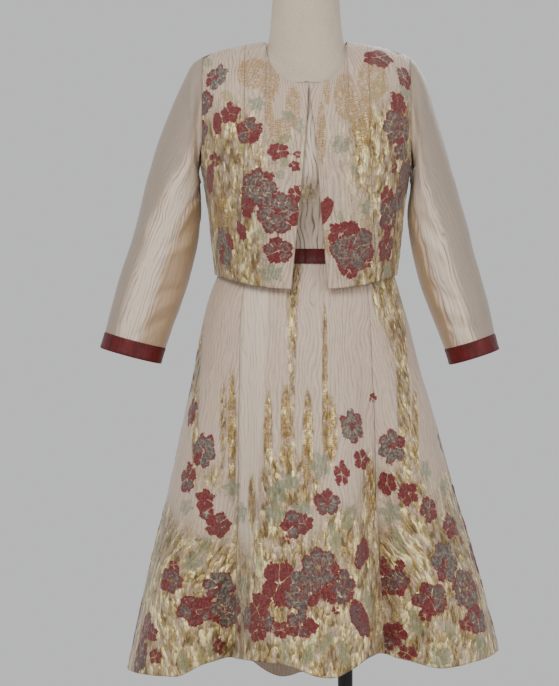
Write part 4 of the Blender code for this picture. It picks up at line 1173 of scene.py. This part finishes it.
class Graph:
    """A material's nodes, with short ways to add and join them."""

    def __init__(self, name):
        self.material = bpy.data.materials.new(name)
        self.material.use_nodes = True
        self.tree = self.material.node_tree
        self.shader = self.tree.nodes["Principled BSDF"]

    def join(self, value, socket):
        """Put a number, a colour or another node's output into a socket."""
        if isinstance(value, Value):
            self.tree.links.new(value.socket, socket)
        elif isinstance(value, tuple) and socket.type == "RGBA":
            socket.default_value = (*value, 1.0)
        else:
            socket.default_value = value

    def node(self, kind, output, inputs, **settings):
        """Add a node with its settings and inputs, and give one of its outputs."""
        node = self.tree.nodes.new("ShaderNode" + kind)
        for name, value in settings.items():
            setattr(node, name, value)
        for name, value in inputs.items():
            self.join(value, node.inputs[name])
        return Value(self, node.outputs[output])

    def math(self, operation, *values):
        """Result of a sum on one or two values."""
        return self.node("Math", 0, dict(enumerate(values)), operation=operation)

    def field(self, name):
        """A value stored on the mesh."""
        return self.node("Attribute", "Fac", {}, attribute_name=name)

    def step(self, value, low, high):
        """Smooth rise from 0 to 1 between two values."""
        inputs = {"Value": value, "From Min": low, "From Max": high}
        return self.node("MapRange", "Result", inputs, interpolation_type="SMOOTHSTEP")

    def mix(self, factor, first, second):
        """Colour between two others."""
        return self.node("Mix", 2, {0: factor, 6: first, 7: second}, data_type="RGBA")

    def cells(self, sideways, across, along):
        """Flat coordinates from a sideways place, in cells of the given sizes."""
        return self.node("CombineXYZ", 0, {0: sideways / across, 1: self.field("along") / along})

    def plane(self, across, along):
        """Flat coordinates on the cloth, in cells of the given sizes."""
        return self.cells(self.field("across"), across, along)

    def bent_plane(self, across, along):
        """Flat coordinates that waver and slant a little, for crinkles in the cloth."""
        bend = (self.noise(self.plane(0.014, 0.026)) - 0.5) * 0.009
        return self.cells(self.field("across") + bend + self.field("slide"), across, along)

    def place(self, size):
        """Place in space, in cells of one size."""
        where = self.node("TexCoord", "Object", {})
        return self.node("VectorMath", 0, {0: where, "Scale": 1 / size}, operation="SCALE")

    def noise(self, vector, detail=2.0, roughness=0.55):
        """Noise from 0 to 1 over coordinates in cells."""
        inputs = {"Vector": vector, "Scale": 1.0, "Detail": detail, "Roughness": roughness}
        return self.node("TexNoise", "Fac", inputs)

    def facets(self, vector):
        """Random value in each of many small cells, and the distance to the cell's middle."""
        chance = self.node("TexVoronoi", "Color", {"Vector": vector, "Scale": 1.0})
        return chance, Value(self, chance.socket.node.outputs["Distance"])

    def wave(self, vector, direction, distortion=0.0):
        """Even bands from 0 to 1 over coordinates in cells."""
        inputs = {"Vector": vector, "Scale": 1.0, "Distortion": distortion}
        return self.node("TexWave", "Fac", inputs, bands_direction=direction)

    def bump(self, height, distance, strength, before=None):
        """Direction of a surface raised by a height, on top of one raised before."""
        inputs = {"Height": height, "Distance": distance, "Strength": strength}
        if before is not None:
            inputs["Normal"] = before
        return self.node("Bump", "Normal", inputs)

    def finish(self, colour, roughness, normal, metallic=0.0, **constants):
        """Join the results to the shader, and set its constant parts."""
        inputs = {"Base Color": colour, "Roughness": roughness, "Metallic": metallic, "Normal": normal}
        for name, value in constants.items():
            inputs[name.replace("_", " ")] = value
        for name, value in inputs.items():
            self.join(value, self.shader.inputs[name])
        return self.material


CHAMPAGNE = (0.545, 0.405, 0.300)
# Darker champagne: random patches, and painted shade in the crinkles' valleys
CHAMPAGNE_SHADE = (0.390, 0.275, 0.200)
# Painted shade on a sleeve's outer side and on the cloth's inner side
SHADE_GREY_TAN = (0.285, 0.225, 0.170)
# Gold-brown on a sleeve's inner side: partly the thread's colour, partly painted shade
GOLD_BROWN = (0.360, 0.225, 0.105)
# Cream threads, also used as painted highlight on the ripples' crests and in pale bands
CREAM_THREAD_AND_HIGHLIGHT = (0.740, 0.610, 0.480)
# Dark moire lines painted as shade in the ripples' valleys, and painted shadow at seams and free edges
MOIRE_AND_PAINTED_SHADE = (0.120, 0.060, 0.030)
GOLD = (0.420, 0.295, 0.110)
# Painted highlight on the gold's highest ridges
GOLD_HIGHLIGHT = (0.940, 0.790, 0.400)
# Painted shade between the gold's ridges
OLIVE_SHADE = (0.175, 0.110, 0.040)
GREY_PETAL = (0.155, 0.124, 0.092)
GREY_DARK = (0.075, 0.050, 0.045)
GREY_LIGHT = (0.300, 0.255, 0.200)
PURPLE_PETAL = (0.110, 0.042, 0.041)
FLOWER_RED = (0.175, 0.0012, 0.0022)
FLOWER_DARK_RED = (0.075, 0.001, 0.004)
VEIN_RED = (0.260, 0.110, 0.080)
SAGE = (0.190, 0.220, 0.130)
OLIVE = (0.350, 0.290, 0.100)
OCHRE = (0.340, 0.185, 0.040)


def ground_colour(g, crinkle, fine):
    """Champagne silk with cream threads; crinkles darkened in their valleys as painted shade; pale
    bands of painted light, grey-tan painted shade and gold-brown partly painted shade; thin dark moire
    lines painted as shade in the ripples' valleys, with painted highlights on their crests.
    """
    blotch = g.noise(g.plane(0.030, 0.060))
    tone = g.field("tone")
    lines = g.field("lines")
    # Darker champagne in the crinkles' valleys, where the bump is lowest: painted shade
    colour = g.mix(g.step(crinkle, 0.60, 0.34) * 0.55, CHAMPAGNE, CHAMPAGNE_SHADE)
    colour = g.mix(g.step(fine, 0.50, 0.72) * 0.30, colour, CREAM_THREAD_AND_HIGHLIGHT)
    colour = g.mix(g.step(blotch, 0.40, 0.75) * 0.22, colour, CHAMPAGNE_SHADE)
    # Painted light and shade: cream where the field is above 0 as painted light, grey-tan below 0 as
    # painted shade
    colour = g.mix(g.step(tone, 0.0, 1.0) * 0.65, colour, CREAM_THREAD_AND_HIGHLIGHT)
    colour = g.mix(g.step(tone, 0.0, -1.0) * 0.85, colour, SHADE_GREY_TAN)
    # Gold-brown on a sleeve's inner side and on the cloth's inner side: partly the thread's colour,
    # partly painted shade
    colour = g.mix(g.field("warm") * 0.70, colour, GOLD_BROWN)
    # Moire lines of the weave, laid in the ripples' valleys and drawn dark there as painted shade, with
    # cream on the ripples' crests as painted highlight
    away = abs(g.math("FRACT", g.field("phase")) - 0.5)
    broken = g.step(g.noise(g.plane(0.010, 0.070)), 0.36, 0.58)
    line = g.step(away, 0.13, 0.04) * broken * lines
    colour = g.mix(g.step(away, 0.26, 0.40) * (lines * 0.60), colour, CREAM_THREAD_AND_HIGHLIGHT)
    return g.mix(line * 0.80, colour, MOIRE_AND_PAINTED_SHADE), line


def gold_colour(g, colour, crinkle, rag):
    """Gold thread over the ground: painted highlights on the crinkles and facets, and olive painted
    shade between them; each facet's own brightness is painted light for its tilt.
    """
    gold = g.field("gold")
    # Each facet gets its own random brightness, painted light for a facet turned towards or away from
    # the lamps
    large, hollow = g.facets(g.bent_plane(0.0050, 0.0120))
    small, _ = g.facets(g.bent_plane(0.0026, 0.0060))
    ridge = large * 0.42 + small * 0.26 + (crinkle + g.field("crinkle")) * 0.20
    pale = g.step(g.noise(g.plane(0.011, 0.026)), 0.44, 0.62)
    # Olive painted shade where the ridges are low, gold above, and painted highlight on the highest
    # ridges
    thread = g.mix(g.step(ridge, 0.26, 0.46), OLIVE_SHADE, GOLD)
    thread = g.mix(pale * 0.65, thread, CHAMPAGNE)
    thread = g.mix(g.step(ridge, 0.52, 0.66), thread, GOLD_HIGHLIGHT)
    cover = g.step(rag * 0.55 + gold * 0.75, 0.38, 0.85)
    amount = cover * g.math("MINIMUM", gold * 1.6, 1.0)
    return g.mix(amount, colour, thread), amount, hollow * amount


def ochre_colour(g, colour, rag, jag):
    """Short ochre threads in stacked rows."""
    row = g.math("FRACT", g.field("along") / 0.0036 + rag * 2.4)
    row = g.step(abs(row - 0.5), 0.40, 0.20)
    broken = g.step(g.noise(g.plane(0.0075, 0.0030)), 0.40, 0.52)
    patch = g.step(g.field("ochre") + jag * 0.16, 0.20, 0.60)
    dash = row * broken * patch
    clump = g.step(g.noise(g.plane(0.010, 0.020)), 0.42, 0.62)
    colour = g.mix(patch * clump * 0.45, colour, OCHRE)
    return g.mix(dash * 0.92, colour, OCHRE), dash


def leaf_colour(g, colour, fine, rag, jag):
    """Sage and olive leaves with blurred edges."""
    leaf = g.step(g.field("leaf") + jag * 2.2, -1.0, 3.0)
    streak = g.step(g.noise(g.bent_plane(0.0022, 0.014)), 0.36, 0.60)
    covered = g.step(rag, 0.30, 0.60) * 0.35 + streak * 0.45
    leaf = leaf * (covered + 0.16)
    shade = g.mix(g.field("leaf_tint"), SAGE, OLIVE)
    shade = g.mix(g.step(fine, 0.55, 0.75) * 0.35, shade, CREAM_THREAD_AND_HIGHLIGHT)
    return g.mix(leaf, colour, shade), leaf


def flower_colour(g, colour, fine, rag, jag):
    """Grey and red petals, mottled, with ragged rims and cream lines between them."""
    wobble = (g.noise(g.place(0.0085)) - 0.5) * 9.0
    depth = g.field("petal") + wobble + jag * 1.9
    mottle = g.noise(g.place(0.0046))
    shade = g.mix(g.field("tint"), GREY_PETAL, PURPLE_PETAL)
    shade = g.mix(g.step(mottle, 0.46, 0.60), shade, GREY_DARK)
    shade = g.mix(g.step(mottle, 0.42, 0.32) * 0.7, shade, GREY_LIGHT)
    rim = g.step(depth, 6.4, 1.0) * 0.36
    core = g.step(g.field("core") + jag, -0.6, 0.8) * 0.6
    redness = g.field("red") + rim + core + (rag - 0.5) * 1.5
    red = g.mix(g.step(fine, 0.36, 0.56), FLOWER_DARK_RED, FLOWER_RED)
    vein = abs(g.noise(g.place(0.0060), 3.0, 0.6) - 0.5)
    red = g.mix(g.step(vein, 0.034, 0.010) * 0.50, red, VEIN_RED)
    shade = g.mix(g.step(redness, 0.42, 0.60), shade, red)
    split = abs(g.field("split") + jag * 0.7)
    gap = g.step(split, 1.7, 0.6) * g.step(g.noise(g.place(0.011), 1.0), 0.42, 0.55)
    inside = g.step(depth, -0.3, 0.9) * (1.0 - gap * 0.8)
    return g.mix(inside, colour, shade), inside


def brocade():
    """Woven ground with moire lines, gold thread, and flowers in coloured silks, with painted light and
    shade on the ground and the gold, and painted shadow along seams and free edges.
    """
    g = Graph("brocade")
    crinkle = g.noise(g.bent_plane(0.0018, 0.0210), 2.0, 0.5)
    fine = g.noise(g.plane(0.0011, 0.0026))
    rag = g.noise(g.place(0.0038), 3.0, 0.65)
    jag = (g.noise(g.place(0.0034), 2.0, 0.6) - 0.5) * 5.0
    cloth, line = ground_colour(g, crinkle, fine)
    cloth, shine, hollow = gold_colour(g, cloth, crinkle, rag)
    cloth, dash = ochre_colour(g, cloth, rag, jag)
    cloth, leaf = leaf_colour(g, cloth, fine, rag, jag)
    cloth, petal = flower_colour(g, cloth, fine, rag, jag)
    # Painted shadow: darker along the seams and along the free edges, where shade falls between the
    # pieces
    seam_shade = g.step(g.field("seam"), 0.9, 0.1)
    end_shade = g.step(g.field("end"), 1.8, 0.4) * 1.6
    cloth = g.mix(g.math("MAXIMUM", seam_shade, end_shade) * 0.38, cloth, MOIRE_AND_PAINTED_SHADE)

    silk = g.math("MAXIMUM", petal, leaf)
    normal = g.bump(crinkle * (g.field("gold") * 0.9 + 0.50), 0.0020, 0.75)
    normal = g.bump(hollow, 0.0026, 0.9, normal)
    normal = g.bump(fine, 0.0006, 0.5, normal)
    normal = g.bump(line, -0.0008, 0.8, normal)
    normal = g.bump(silk * (fine + 0.6), 0.0006, 0.6, normal)
    normal = g.bump(dash, 0.0005, 0.6, normal)
    normal = g.bump(g.wave(g.plane(0.0018, 0.0018), "DIAGONAL"), 0.00012, 0.5, normal)
    shine = shine * (1.0 - silk)
    rough = fine * 0.14 + 0.33 - shine * 0.08 + silk * 0.14
    return g.finish(cloth, rough, normal, shine * 0.50, Sheen_Weight=0.20,
                    Sheen_Roughness=0.4, Specular_IOR_Level=0.55)


def red_satin():
    """Dark red satin with fine creases across the band, painted shade in their valleys and painted
    light on their crests, and stitched edges.
    """
    g = Graph("dark_red_satin")
    fine = g.noise(g.plane(0.0007, 0.020))
    crease = g.noise(g.plane(0.006, 0.030), 3.0)
    blotch = g.noise(g.plane(0.035, 0.025))
    # Darker red in the creases' valleys and lighter on their crests, where the bump is high: painted
    # shade and light
    colour = g.mix(g.step(crease, 0.30, 0.70), (0.050, 0.0006, 0.0008), (0.110, 0.0010, 0.0014))
    colour = g.mix(g.step(blotch, 0.45, 0.75) * 0.4, colour, (0.150, 0.0020, 0.0022))
    row = g.step(abs(g.field("end") - 2.2), 0.55, 0.25)
    gap = g.step(abs(g.math("FRACT", g.field("across") / 0.0028) - 0.5), 0.40, 0.30)
    stitch = row * gap
    colour = g.mix(stitch * 0.6, colour, (0.035, 0.004, 0.004))
    normal = g.bump(crease, 0.0016, 0.6)
    normal = g.bump(fine, 0.0003, 0.5, normal)
    normal = g.bump(stitch, -0.0003, 0.8, normal)
    return g.finish(colour, crease * 0.16 + 0.42, normal, Sheen_Weight=0.05, Specular_IOR_Level=0.35)


def linen():
    """Cream linen cover of the form, with slubs, faint soiling and a plain weave."""
    g = Graph("cream_linen")
    slub_one = g.noise(g.place(0.0013), 3.0, 0.6)
    slub_two = g.noise(g.place(0.006), 3.0, 0.6)
    soil = g.noise(g.place(0.080), 3.0)
    colour = g.mix(g.step(slub_one, 0.25, 0.75), (0.470, 0.375, 0.270), (0.640, 0.540, 0.420))
    colour = g.mix(g.step(slub_two, 0.5, 0.8) * 0.25, colour, (0.700, 0.600, 0.480))
    colour = g.mix(g.step(soil, 0.45, 0.75) * 0.20, colour, (0.300, 0.235, 0.180))
    weft, warp = [g.wave(g.place(0.0022), direction, 1.5) for direction in ("Z", "X")]
    normal = g.bump(g.math("MAXIMUM", weft, warp), 0.00018, 0.7)
    normal = g.bump(slub_one, 0.0005, 0.5, normal)
    return g.finish(colour, slub_two * 0.14 + 0.78, normal, Sheen_Weight=0.15)


def painted_metal():
    """Black painted steel with brushed streaks, scuffs and a little dust."""
    g = Graph("black_painted_steel")
    scuff = g.noise(g.place(0.012), 5.0, 0.65)
    dust = g.noise(g.place(0.045), 3.0)
    grain = g.noise(g.place(0.0008))
    colour = g.mix(g.step(scuff, 0.62, 0.72), (0.010, 0.010, 0.011), (0.045, 0.043, 0.042))
    colour = g.mix(g.step(dust, 0.5, 0.8) * 0.12, colour, (0.180, 0.170, 0.160))
    return g.finish(colour, scuff * 0.25 + 0.30, g.bump(grain, 0.0002, 0.4), 0.35)


def seam_thread():
    """Twisted thread in the seam of the linen cover."""
    g = Graph("seam_thread")
    twist = g.noise(g.place(0.0015))
    colour = g.mix(twist, (0.230, 0.180, 0.130), (0.420, 0.340, 0.260))
    return g.finish(colour, 0.85, g.bump(twist, 0.0002, 0.6), Sheen_Weight=0.1)


def plain_floor():
    """Pale painted surface with faint clouds."""
    g = Graph("pale_floor")
    colour = g.mix(g.noise(g.place(0.6), 3.0), (0.50, 0.50, 0.49), (0.56, 0.56, 0.55))
    return g.finish(colour, 0.9, g.bump(g.noise(g.place(0.006)), 0.0003, 0.3))


# Pieces in the scene

SEWN_AND_FREE = {
    "skirt": (["first", "last"], ["end"]),
    "jacket_front": (["last", "end"], ["first", "start"]),
    "jacket": (["first", "last", "end"], ["start"]),
    "dress": (["first", "last"], ["end"]),
    "sleeve": (["start", "end"], []),
}


def sewn_and_free(cloth):
    """Sides where a piece is sewn on, and sides where its cloth ends."""
    part = cloth.name.rpartition("_")[0]
    return SEWN_AND_FREE.get(part) or SEWN_AND_FREE[cloth.kind]


def gold_amount(cloth):
    """How much gold thread shows: low on the skirt, and at the jacket's sides."""
    x = cloth.points[..., 0] - GARMENT_X
    z = cloth.points[..., 2]
    patch = 0.5 + 0.5 * noise(x / 0.050 + 3, z / 0.070, 71)
    column = 0.5 + 0.5 * noise(x / 0.022 + 7, z / 0.260, 72)
    if cloth.kind == "skirt":
        low = soft_step(-z + 0.16 * (patch - 0.5) + 0.05 * (column - 0.5), -0.76, -0.60)
        bars = 0.75 * soft_step(column, 0.56, 0.80) * soft_step(z, 0.55, 0.70)
        bars = np.maximum(bars, 0.85 * ochre_amount(cloth))
        return np.clip(low * (0.50 + 0.60 * patch) + bars, 0.0, 1.0)
    if cloth.kind == "jacket":
        low = soft_step(-z, -1.33, -1.22)
        beside = soft_step(np.abs(x), 0.04, 0.11)
        return np.clip((0.35 + 0.50 * beside) * (0.25 + 0.75 * low) * (0.55 + 0.8 * patch), 0.0, 1.0)
    if cloth.kind == "sleeve":
        return 0.16 * soft_step(-z, -1.12, -0.95) * patch
    return 0.08 * patch + 0.50 * np.exp(-((z - 1.140) / 0.030) ** 2) * np.exp(-(x / 0.030) ** 2)


def ochre_amount(cloth):
    """Where short ochre threads show in rows."""
    x, y, _ = seen(cloth.points)
    total = np.zeros(x.shape)
    if cloth.kind not in ("jacket", "skirt"):
        return total
    for patch in OCHRE_PATCHES:
        away = np.hypot((x - patch.x) / patch.wide, (y - patch.y) / patch.high)
        total = np.maximum(total, soft_step(-away, -1.25, -0.55))
    behind = soft_step(noise(x / 16.0 + 9, y / 60.0, 83), 0.25, 0.60)
    front = soft_step(-cloth.normals[..., 1], -0.2, 0.2)
    return total * front + behind * (1 - front)


# Ripples' distance and height in metres, and strength of ochre, dark lines and painted light
Look = namedtuple("Look", "spacing ripple ochre lines tone")
BROCADE_LOOKS = {
    "dress": Look(0.0080, 0.0007, 1.0, 1.0, 0.7),
    "skirt": Look(0.0062, 0.0004, 0.45, 0.36, 0.0),
    "jacket": Look(0.0062, 0.0004, 1.0, 0.50, 0.0),
    "sleeve": Look(0.0062, 0.0007, 1.0, 0.50, 0.0),
}
CRINKLE = 0.0012           # height of the crinkles in gold thread


def empty_fields(cloth, lines):
    """Fields before any flower is drawn."""
    shape = cloth.along.shape
    for name, value in (("petal", NO_FLOWER), ("leaf", NO_FLOWER), ("split", NO_SPLIT),
                        ("core", NO_FLOWER), ("red", 0.0), ("tint", 0.0), ("leaf_tint", 0.0),
                        ("lines", lines), ("tone", 0.0), ("warm", 0.0)):
        cloth.fields[name] = np.full(shape, value)


def shape_brocade(cloth, creases):
    """Ripples, crinkles, creases and fields of a brocade piece; its edges are added later."""
    look = BROCADE_LOOKS[cloth.kind]
    add_ripples(cloth, look.spacing, look.ripple)
    add_crinkles(cloth, gold_amount(cloth), CRINKLE)
    add_creases(cloth, creases)
    cloth.fields["ochre"] = ochre_amount(cloth) * look.ochre
    empty_fields(cloth, look.lines)
    # Painted light over a whole piece: the dress's top is made paler against the jacket's shadow on it
    cloth.fields["tone"] += look.tone
    if cloth.kind == "sleeve":
        add_sleeve_bands(cloth)
    if cloth.kind == "skirt":
        add_pleats(cloth)


def jacket_like(point, normal):
    """Places for flowers on the jacket that the picture doesn't show."""
    return normal[1] > -0.25 or abs(point[0] - GARMENT_X) > 0.135


def skirt_like(point, normal):
    """Places for flowers on the skirt that the picture doesn't show, mostly low down."""
    crowded = 0.40 + 0.50 * abs(math.sin(point[0] * 31.0 + point[1] * 17.0)) ** 2
    return normal[1] > -0.15 and point[2] < 0.32 + crowded * 0.70


def make_cloths():
    """Fine grids of every cloth piece."""
    fine = (CELL_ACROSS, CELL_ALONG)
    grids = {**bodice_grids(), **skirt_grids(), **jacket_grids()}
    cloths = {}
    for number, (name, grid) in enumerate(grids.items()):
        middle = upright_middle if name.startswith("skirt") else torso_middle
        hidden = name.startswith("dress_bodice_back")
        cell = (PLAIN_CELL, PLAIN_CELL) if hidden else fine
        cloths[name] = Cloth(name, grid, middle, False, cell, 11 * number + 1)
    for number, (name, grid) in enumerate(sleeve_grids(grids).items()):
        cloths[name] = Cloth(name, grid, ring_middle, True, fine, 211 + 13 * number)
    cloths["belt"] = Cloth("belt", belt_grid(), upright_middle, True, (BELT_CELL, BELT_CELL), 301)
    return cloths


def satin_band(cloth, thickness, out, material):
    """Red satin band with soft creases across it."""
    u, v = cloth.across, cloth.along
    bend = 0.4 * noise(u / 0.02, v / 0.01, 5)
    cloth.lift = out + 0.0005 * noise(u / 0.009 + bend, v / 0.030, cloth.seed)
    add_edges(cloth, [], ["start", "end"])
    return finished(cloth, thickness, material)


def form_cover(material):
    """The form's cover: the solid's form with its corners softened."""
    item = add_item("form_cover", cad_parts["form_torso"].data.copy())
    item.hide_render = False
    remesh = item.modifiers.new("even", "REMESH")
    remesh.mode = "VOXEL"
    remesh.voxel_size = COVER_CELL
    smooth = item.modifiers.new("soft", "SMOOTH")
    smooth.factor = 0.5
    smooth.iterations = 8
    graph = bpy.context.evaluated_depsgraph_get()
    soft = bpy.data.meshes.new_from_object(item.evaluated_get(graph))
    item.modifiers.clear()
    item.data = soft
    soft.materials.clear()
    soft.materials.append(material)
    soft.shade_smooth()
    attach(item, "root")
    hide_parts("form_torso")
    return item


def form_seam(cover, material):
    """Thread of the seam round the base of the form's neck, with a small stitch in front."""
    data = bpy.data.curves.new("neck_seam", "CURVE")
    data.dimensions = "3D"
    data.bevel_depth = THREAD_RADIUS
    data.bevel_resolution = 2
    middle = Vector((GARMENT_X, 0.0, 0.0))
    ring = []
    for number in range(NECK_SEAM_POINTS):
        turn = number / NECK_SEAM_POINTS * TAU
        away = Vector((math.sin(turn), -math.cos(turn), 0.0))
        start = middle + away * 0.5 + Vector((0.0, 0.0, NECK_SEAM_Z - NECK_SEAM_DIP * math.cos(turn)))
        found, place, _, _ = cover.ray_cast(start, -away)
        if found:
            ring.append(place)
    front = ring[0] + Vector((0.0, -0.0004, 0.0015))
    stitch = [front + Vector((side * HALF_STITCH, 0.0, 0.0)) for side in (LEFT, RIGHT)]
    for points, closed in ((ring, True), (stitch, False)):
        line = data.splines.new("POLY")
        line.points.add(len(points) - 1)
        line.use_cyclic_u = closed
        for point, place in zip(line.points, points):
            point.co = (*place, 1.0)
    data.materials.append(material)
    item = add_item("neck_seam", data)
    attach(item, "root")


def paint_stand(material):
    """The pole and the base keep their solids, with a material of their own."""
    for name in ("stand_pole", "stand_base"):
        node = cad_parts[name]
        node.data.materials.clear()
        node.data.materials.append(material)


def declare_sheets(items):
    """Work out the width and length of every cloth piece as it lay flat, widened where its area is
    larger than that rectangle; the results are not kept.
    """
    for name, (item, cloth) in items.items():
        area = CLOTH_AREAS[name]
        width, length = cloth.size
        if cloth.closed:
            width += CELL_ACROSS
        fill = area / (width * length)
        if fill > 1.0:
            width *= fill


def add_floor(material):
    """Pale round floor, which isn't part of the object."""
    bpy.ops.mesh.primitive_circle_add(vertices=96, radius=FLOOR_RADIUS, fill_type="NGON",
                                      location=(0.0, 0.0, 0.0))
    floor = bpy.context.object
    floor.name = "floor"
    floor.data.materials.append(material)
    floor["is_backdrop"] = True


def add_light(name, location, size, power, colour):
    """Soft square light aimed at the garment's middle."""
    data = bpy.data.lights.new(name, "AREA")
    data.size = size
    data.energy = power
    data.color = colour
    item = add_item(name, data)
    item.location = location
    aim = Vector((GARMENT_X, 0.0, AIM_Z)) - Vector(location)
    item.rotation_euler = aim.to_track_quat("-Z", "Y").to_euler()


def add_lights():
    """Soft light from above in front, a weaker one from the right, one behind, and a dim room."""
    add_light("front_high", (-0.9, -2.4, 2.6), 1.2, 51.0, (1.0, 0.98, 0.95))
    add_light("front_right", (1.7, -2.2, 1.5), 1.4, 21.0, (1.0, 0.98, 0.96))
    add_light("behind", (0.8, 2.4, 2.4), 1.4, 26.0, (1.0, 0.99, 0.98))
    world = bpy.data.worlds.new("room")
    world.use_nodes = True
    room = world.node_tree.nodes["Background"]
    room.inputs["Color"].default_value = (0.975, 0.98, 1.0, 1.0)
    room.inputs["Strength"].default_value = 0.68
    bpy.context.scene.world = world


def add_camera():
    """Level camera in front, with the picture's middle at a set height."""
    data = bpy.data.cameras.new("camera")
    data.sensor_fit = "VERTICAL"
    data.sensor_height = SENSOR
    data.lens = FOCAL / PICTURE_HEIGHT * SENSOR
    data.shift_y = (LOOK_Z - CAMERA_Z) / (-CAMERA_Y) * FOCAL / PICTURE_HEIGHT
    item = add_item("camera", data)
    item.location = (CAMERA_X, CAMERA_Y, CAMERA_Z)
    item.rotation_euler = (math.pi / 2, 0.0, 0.0)
    bpy.context.scene.camera = item


CREASES = {"sleeve_left": LEFT_SLEEVE_CREASES, "sleeve_right": RIGHT_SLEEVE_CREASES,
           "jacket": JACKET_CREASES, "skirt": SKIRT_CREASES, "dress": []}


def main():
    """Build the pieces, draw the flowers, and light the scene."""
    cloth_material = brocade()
    satin = red_satin()
    cloths = make_cloths()
    woven = [cloth for cloth in cloths.values() if cloth.kind in BROCADE_LOOKS]
    for cloth in woven:
        shape_brocade(cloth, CREASES.get(cloth.name) or CREASES[cloth.kind])
    jacket = [cloth for cloth in woven if cloth.kind == "jacket"]
    skirt = [cloth for cloth in woven if cloth.kind == "skirt"]
    draw_placed(jacket, JACKET_FLOWERS, seed=400)
    draw_placed(skirt, SKIRT_FLOWERS, seed=500)
    draw_scattered(jacket, count=44, gap=0.036, allowed=jacket_like, seed=600)
    draw_scattered(skirt, count=110, gap=0.040, allowed=skirt_like, seed=700)
    items = {}
    for name, cloth in cloths.items():
        if cloth in woven:
            add_edges(cloth, *sewn_and_free(cloth))
            slot = "jacket_brocade" if cloth.kind in ("jacket", "sleeve") else "dress_brocade"
            items[name] = (finished(cloth, CLOTH, cloth_material), cloth)
        else:
            out = CUFF_OUT if cloth.kind == "cuff" else 0.0
            items[name] = (satin_band(cloth, BELT_CLOTH, out, satin), cloth)
    declare_sheets(items)
    form_seam(form_cover(linen()), seam_thread())
    paint_stand(painted_metal())
    add_floor(plain_floor())
    add_lights()
    add_camera()


def write_sizes(before, after):
    """Put the box of the solids and the box of the visual model into plain lists of numbers."""
    sizes = {"cad": [list(corner) for corner in before], "visual": [list(corner) for corner in after]}


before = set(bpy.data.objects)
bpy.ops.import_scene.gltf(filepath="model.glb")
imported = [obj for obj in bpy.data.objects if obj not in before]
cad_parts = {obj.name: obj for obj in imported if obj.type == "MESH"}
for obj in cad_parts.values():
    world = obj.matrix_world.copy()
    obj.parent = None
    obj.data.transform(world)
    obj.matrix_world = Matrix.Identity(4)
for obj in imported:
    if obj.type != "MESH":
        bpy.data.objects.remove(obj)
SIZE_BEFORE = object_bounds()
main()
write_sizes(SIZE_BEFORE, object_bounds())
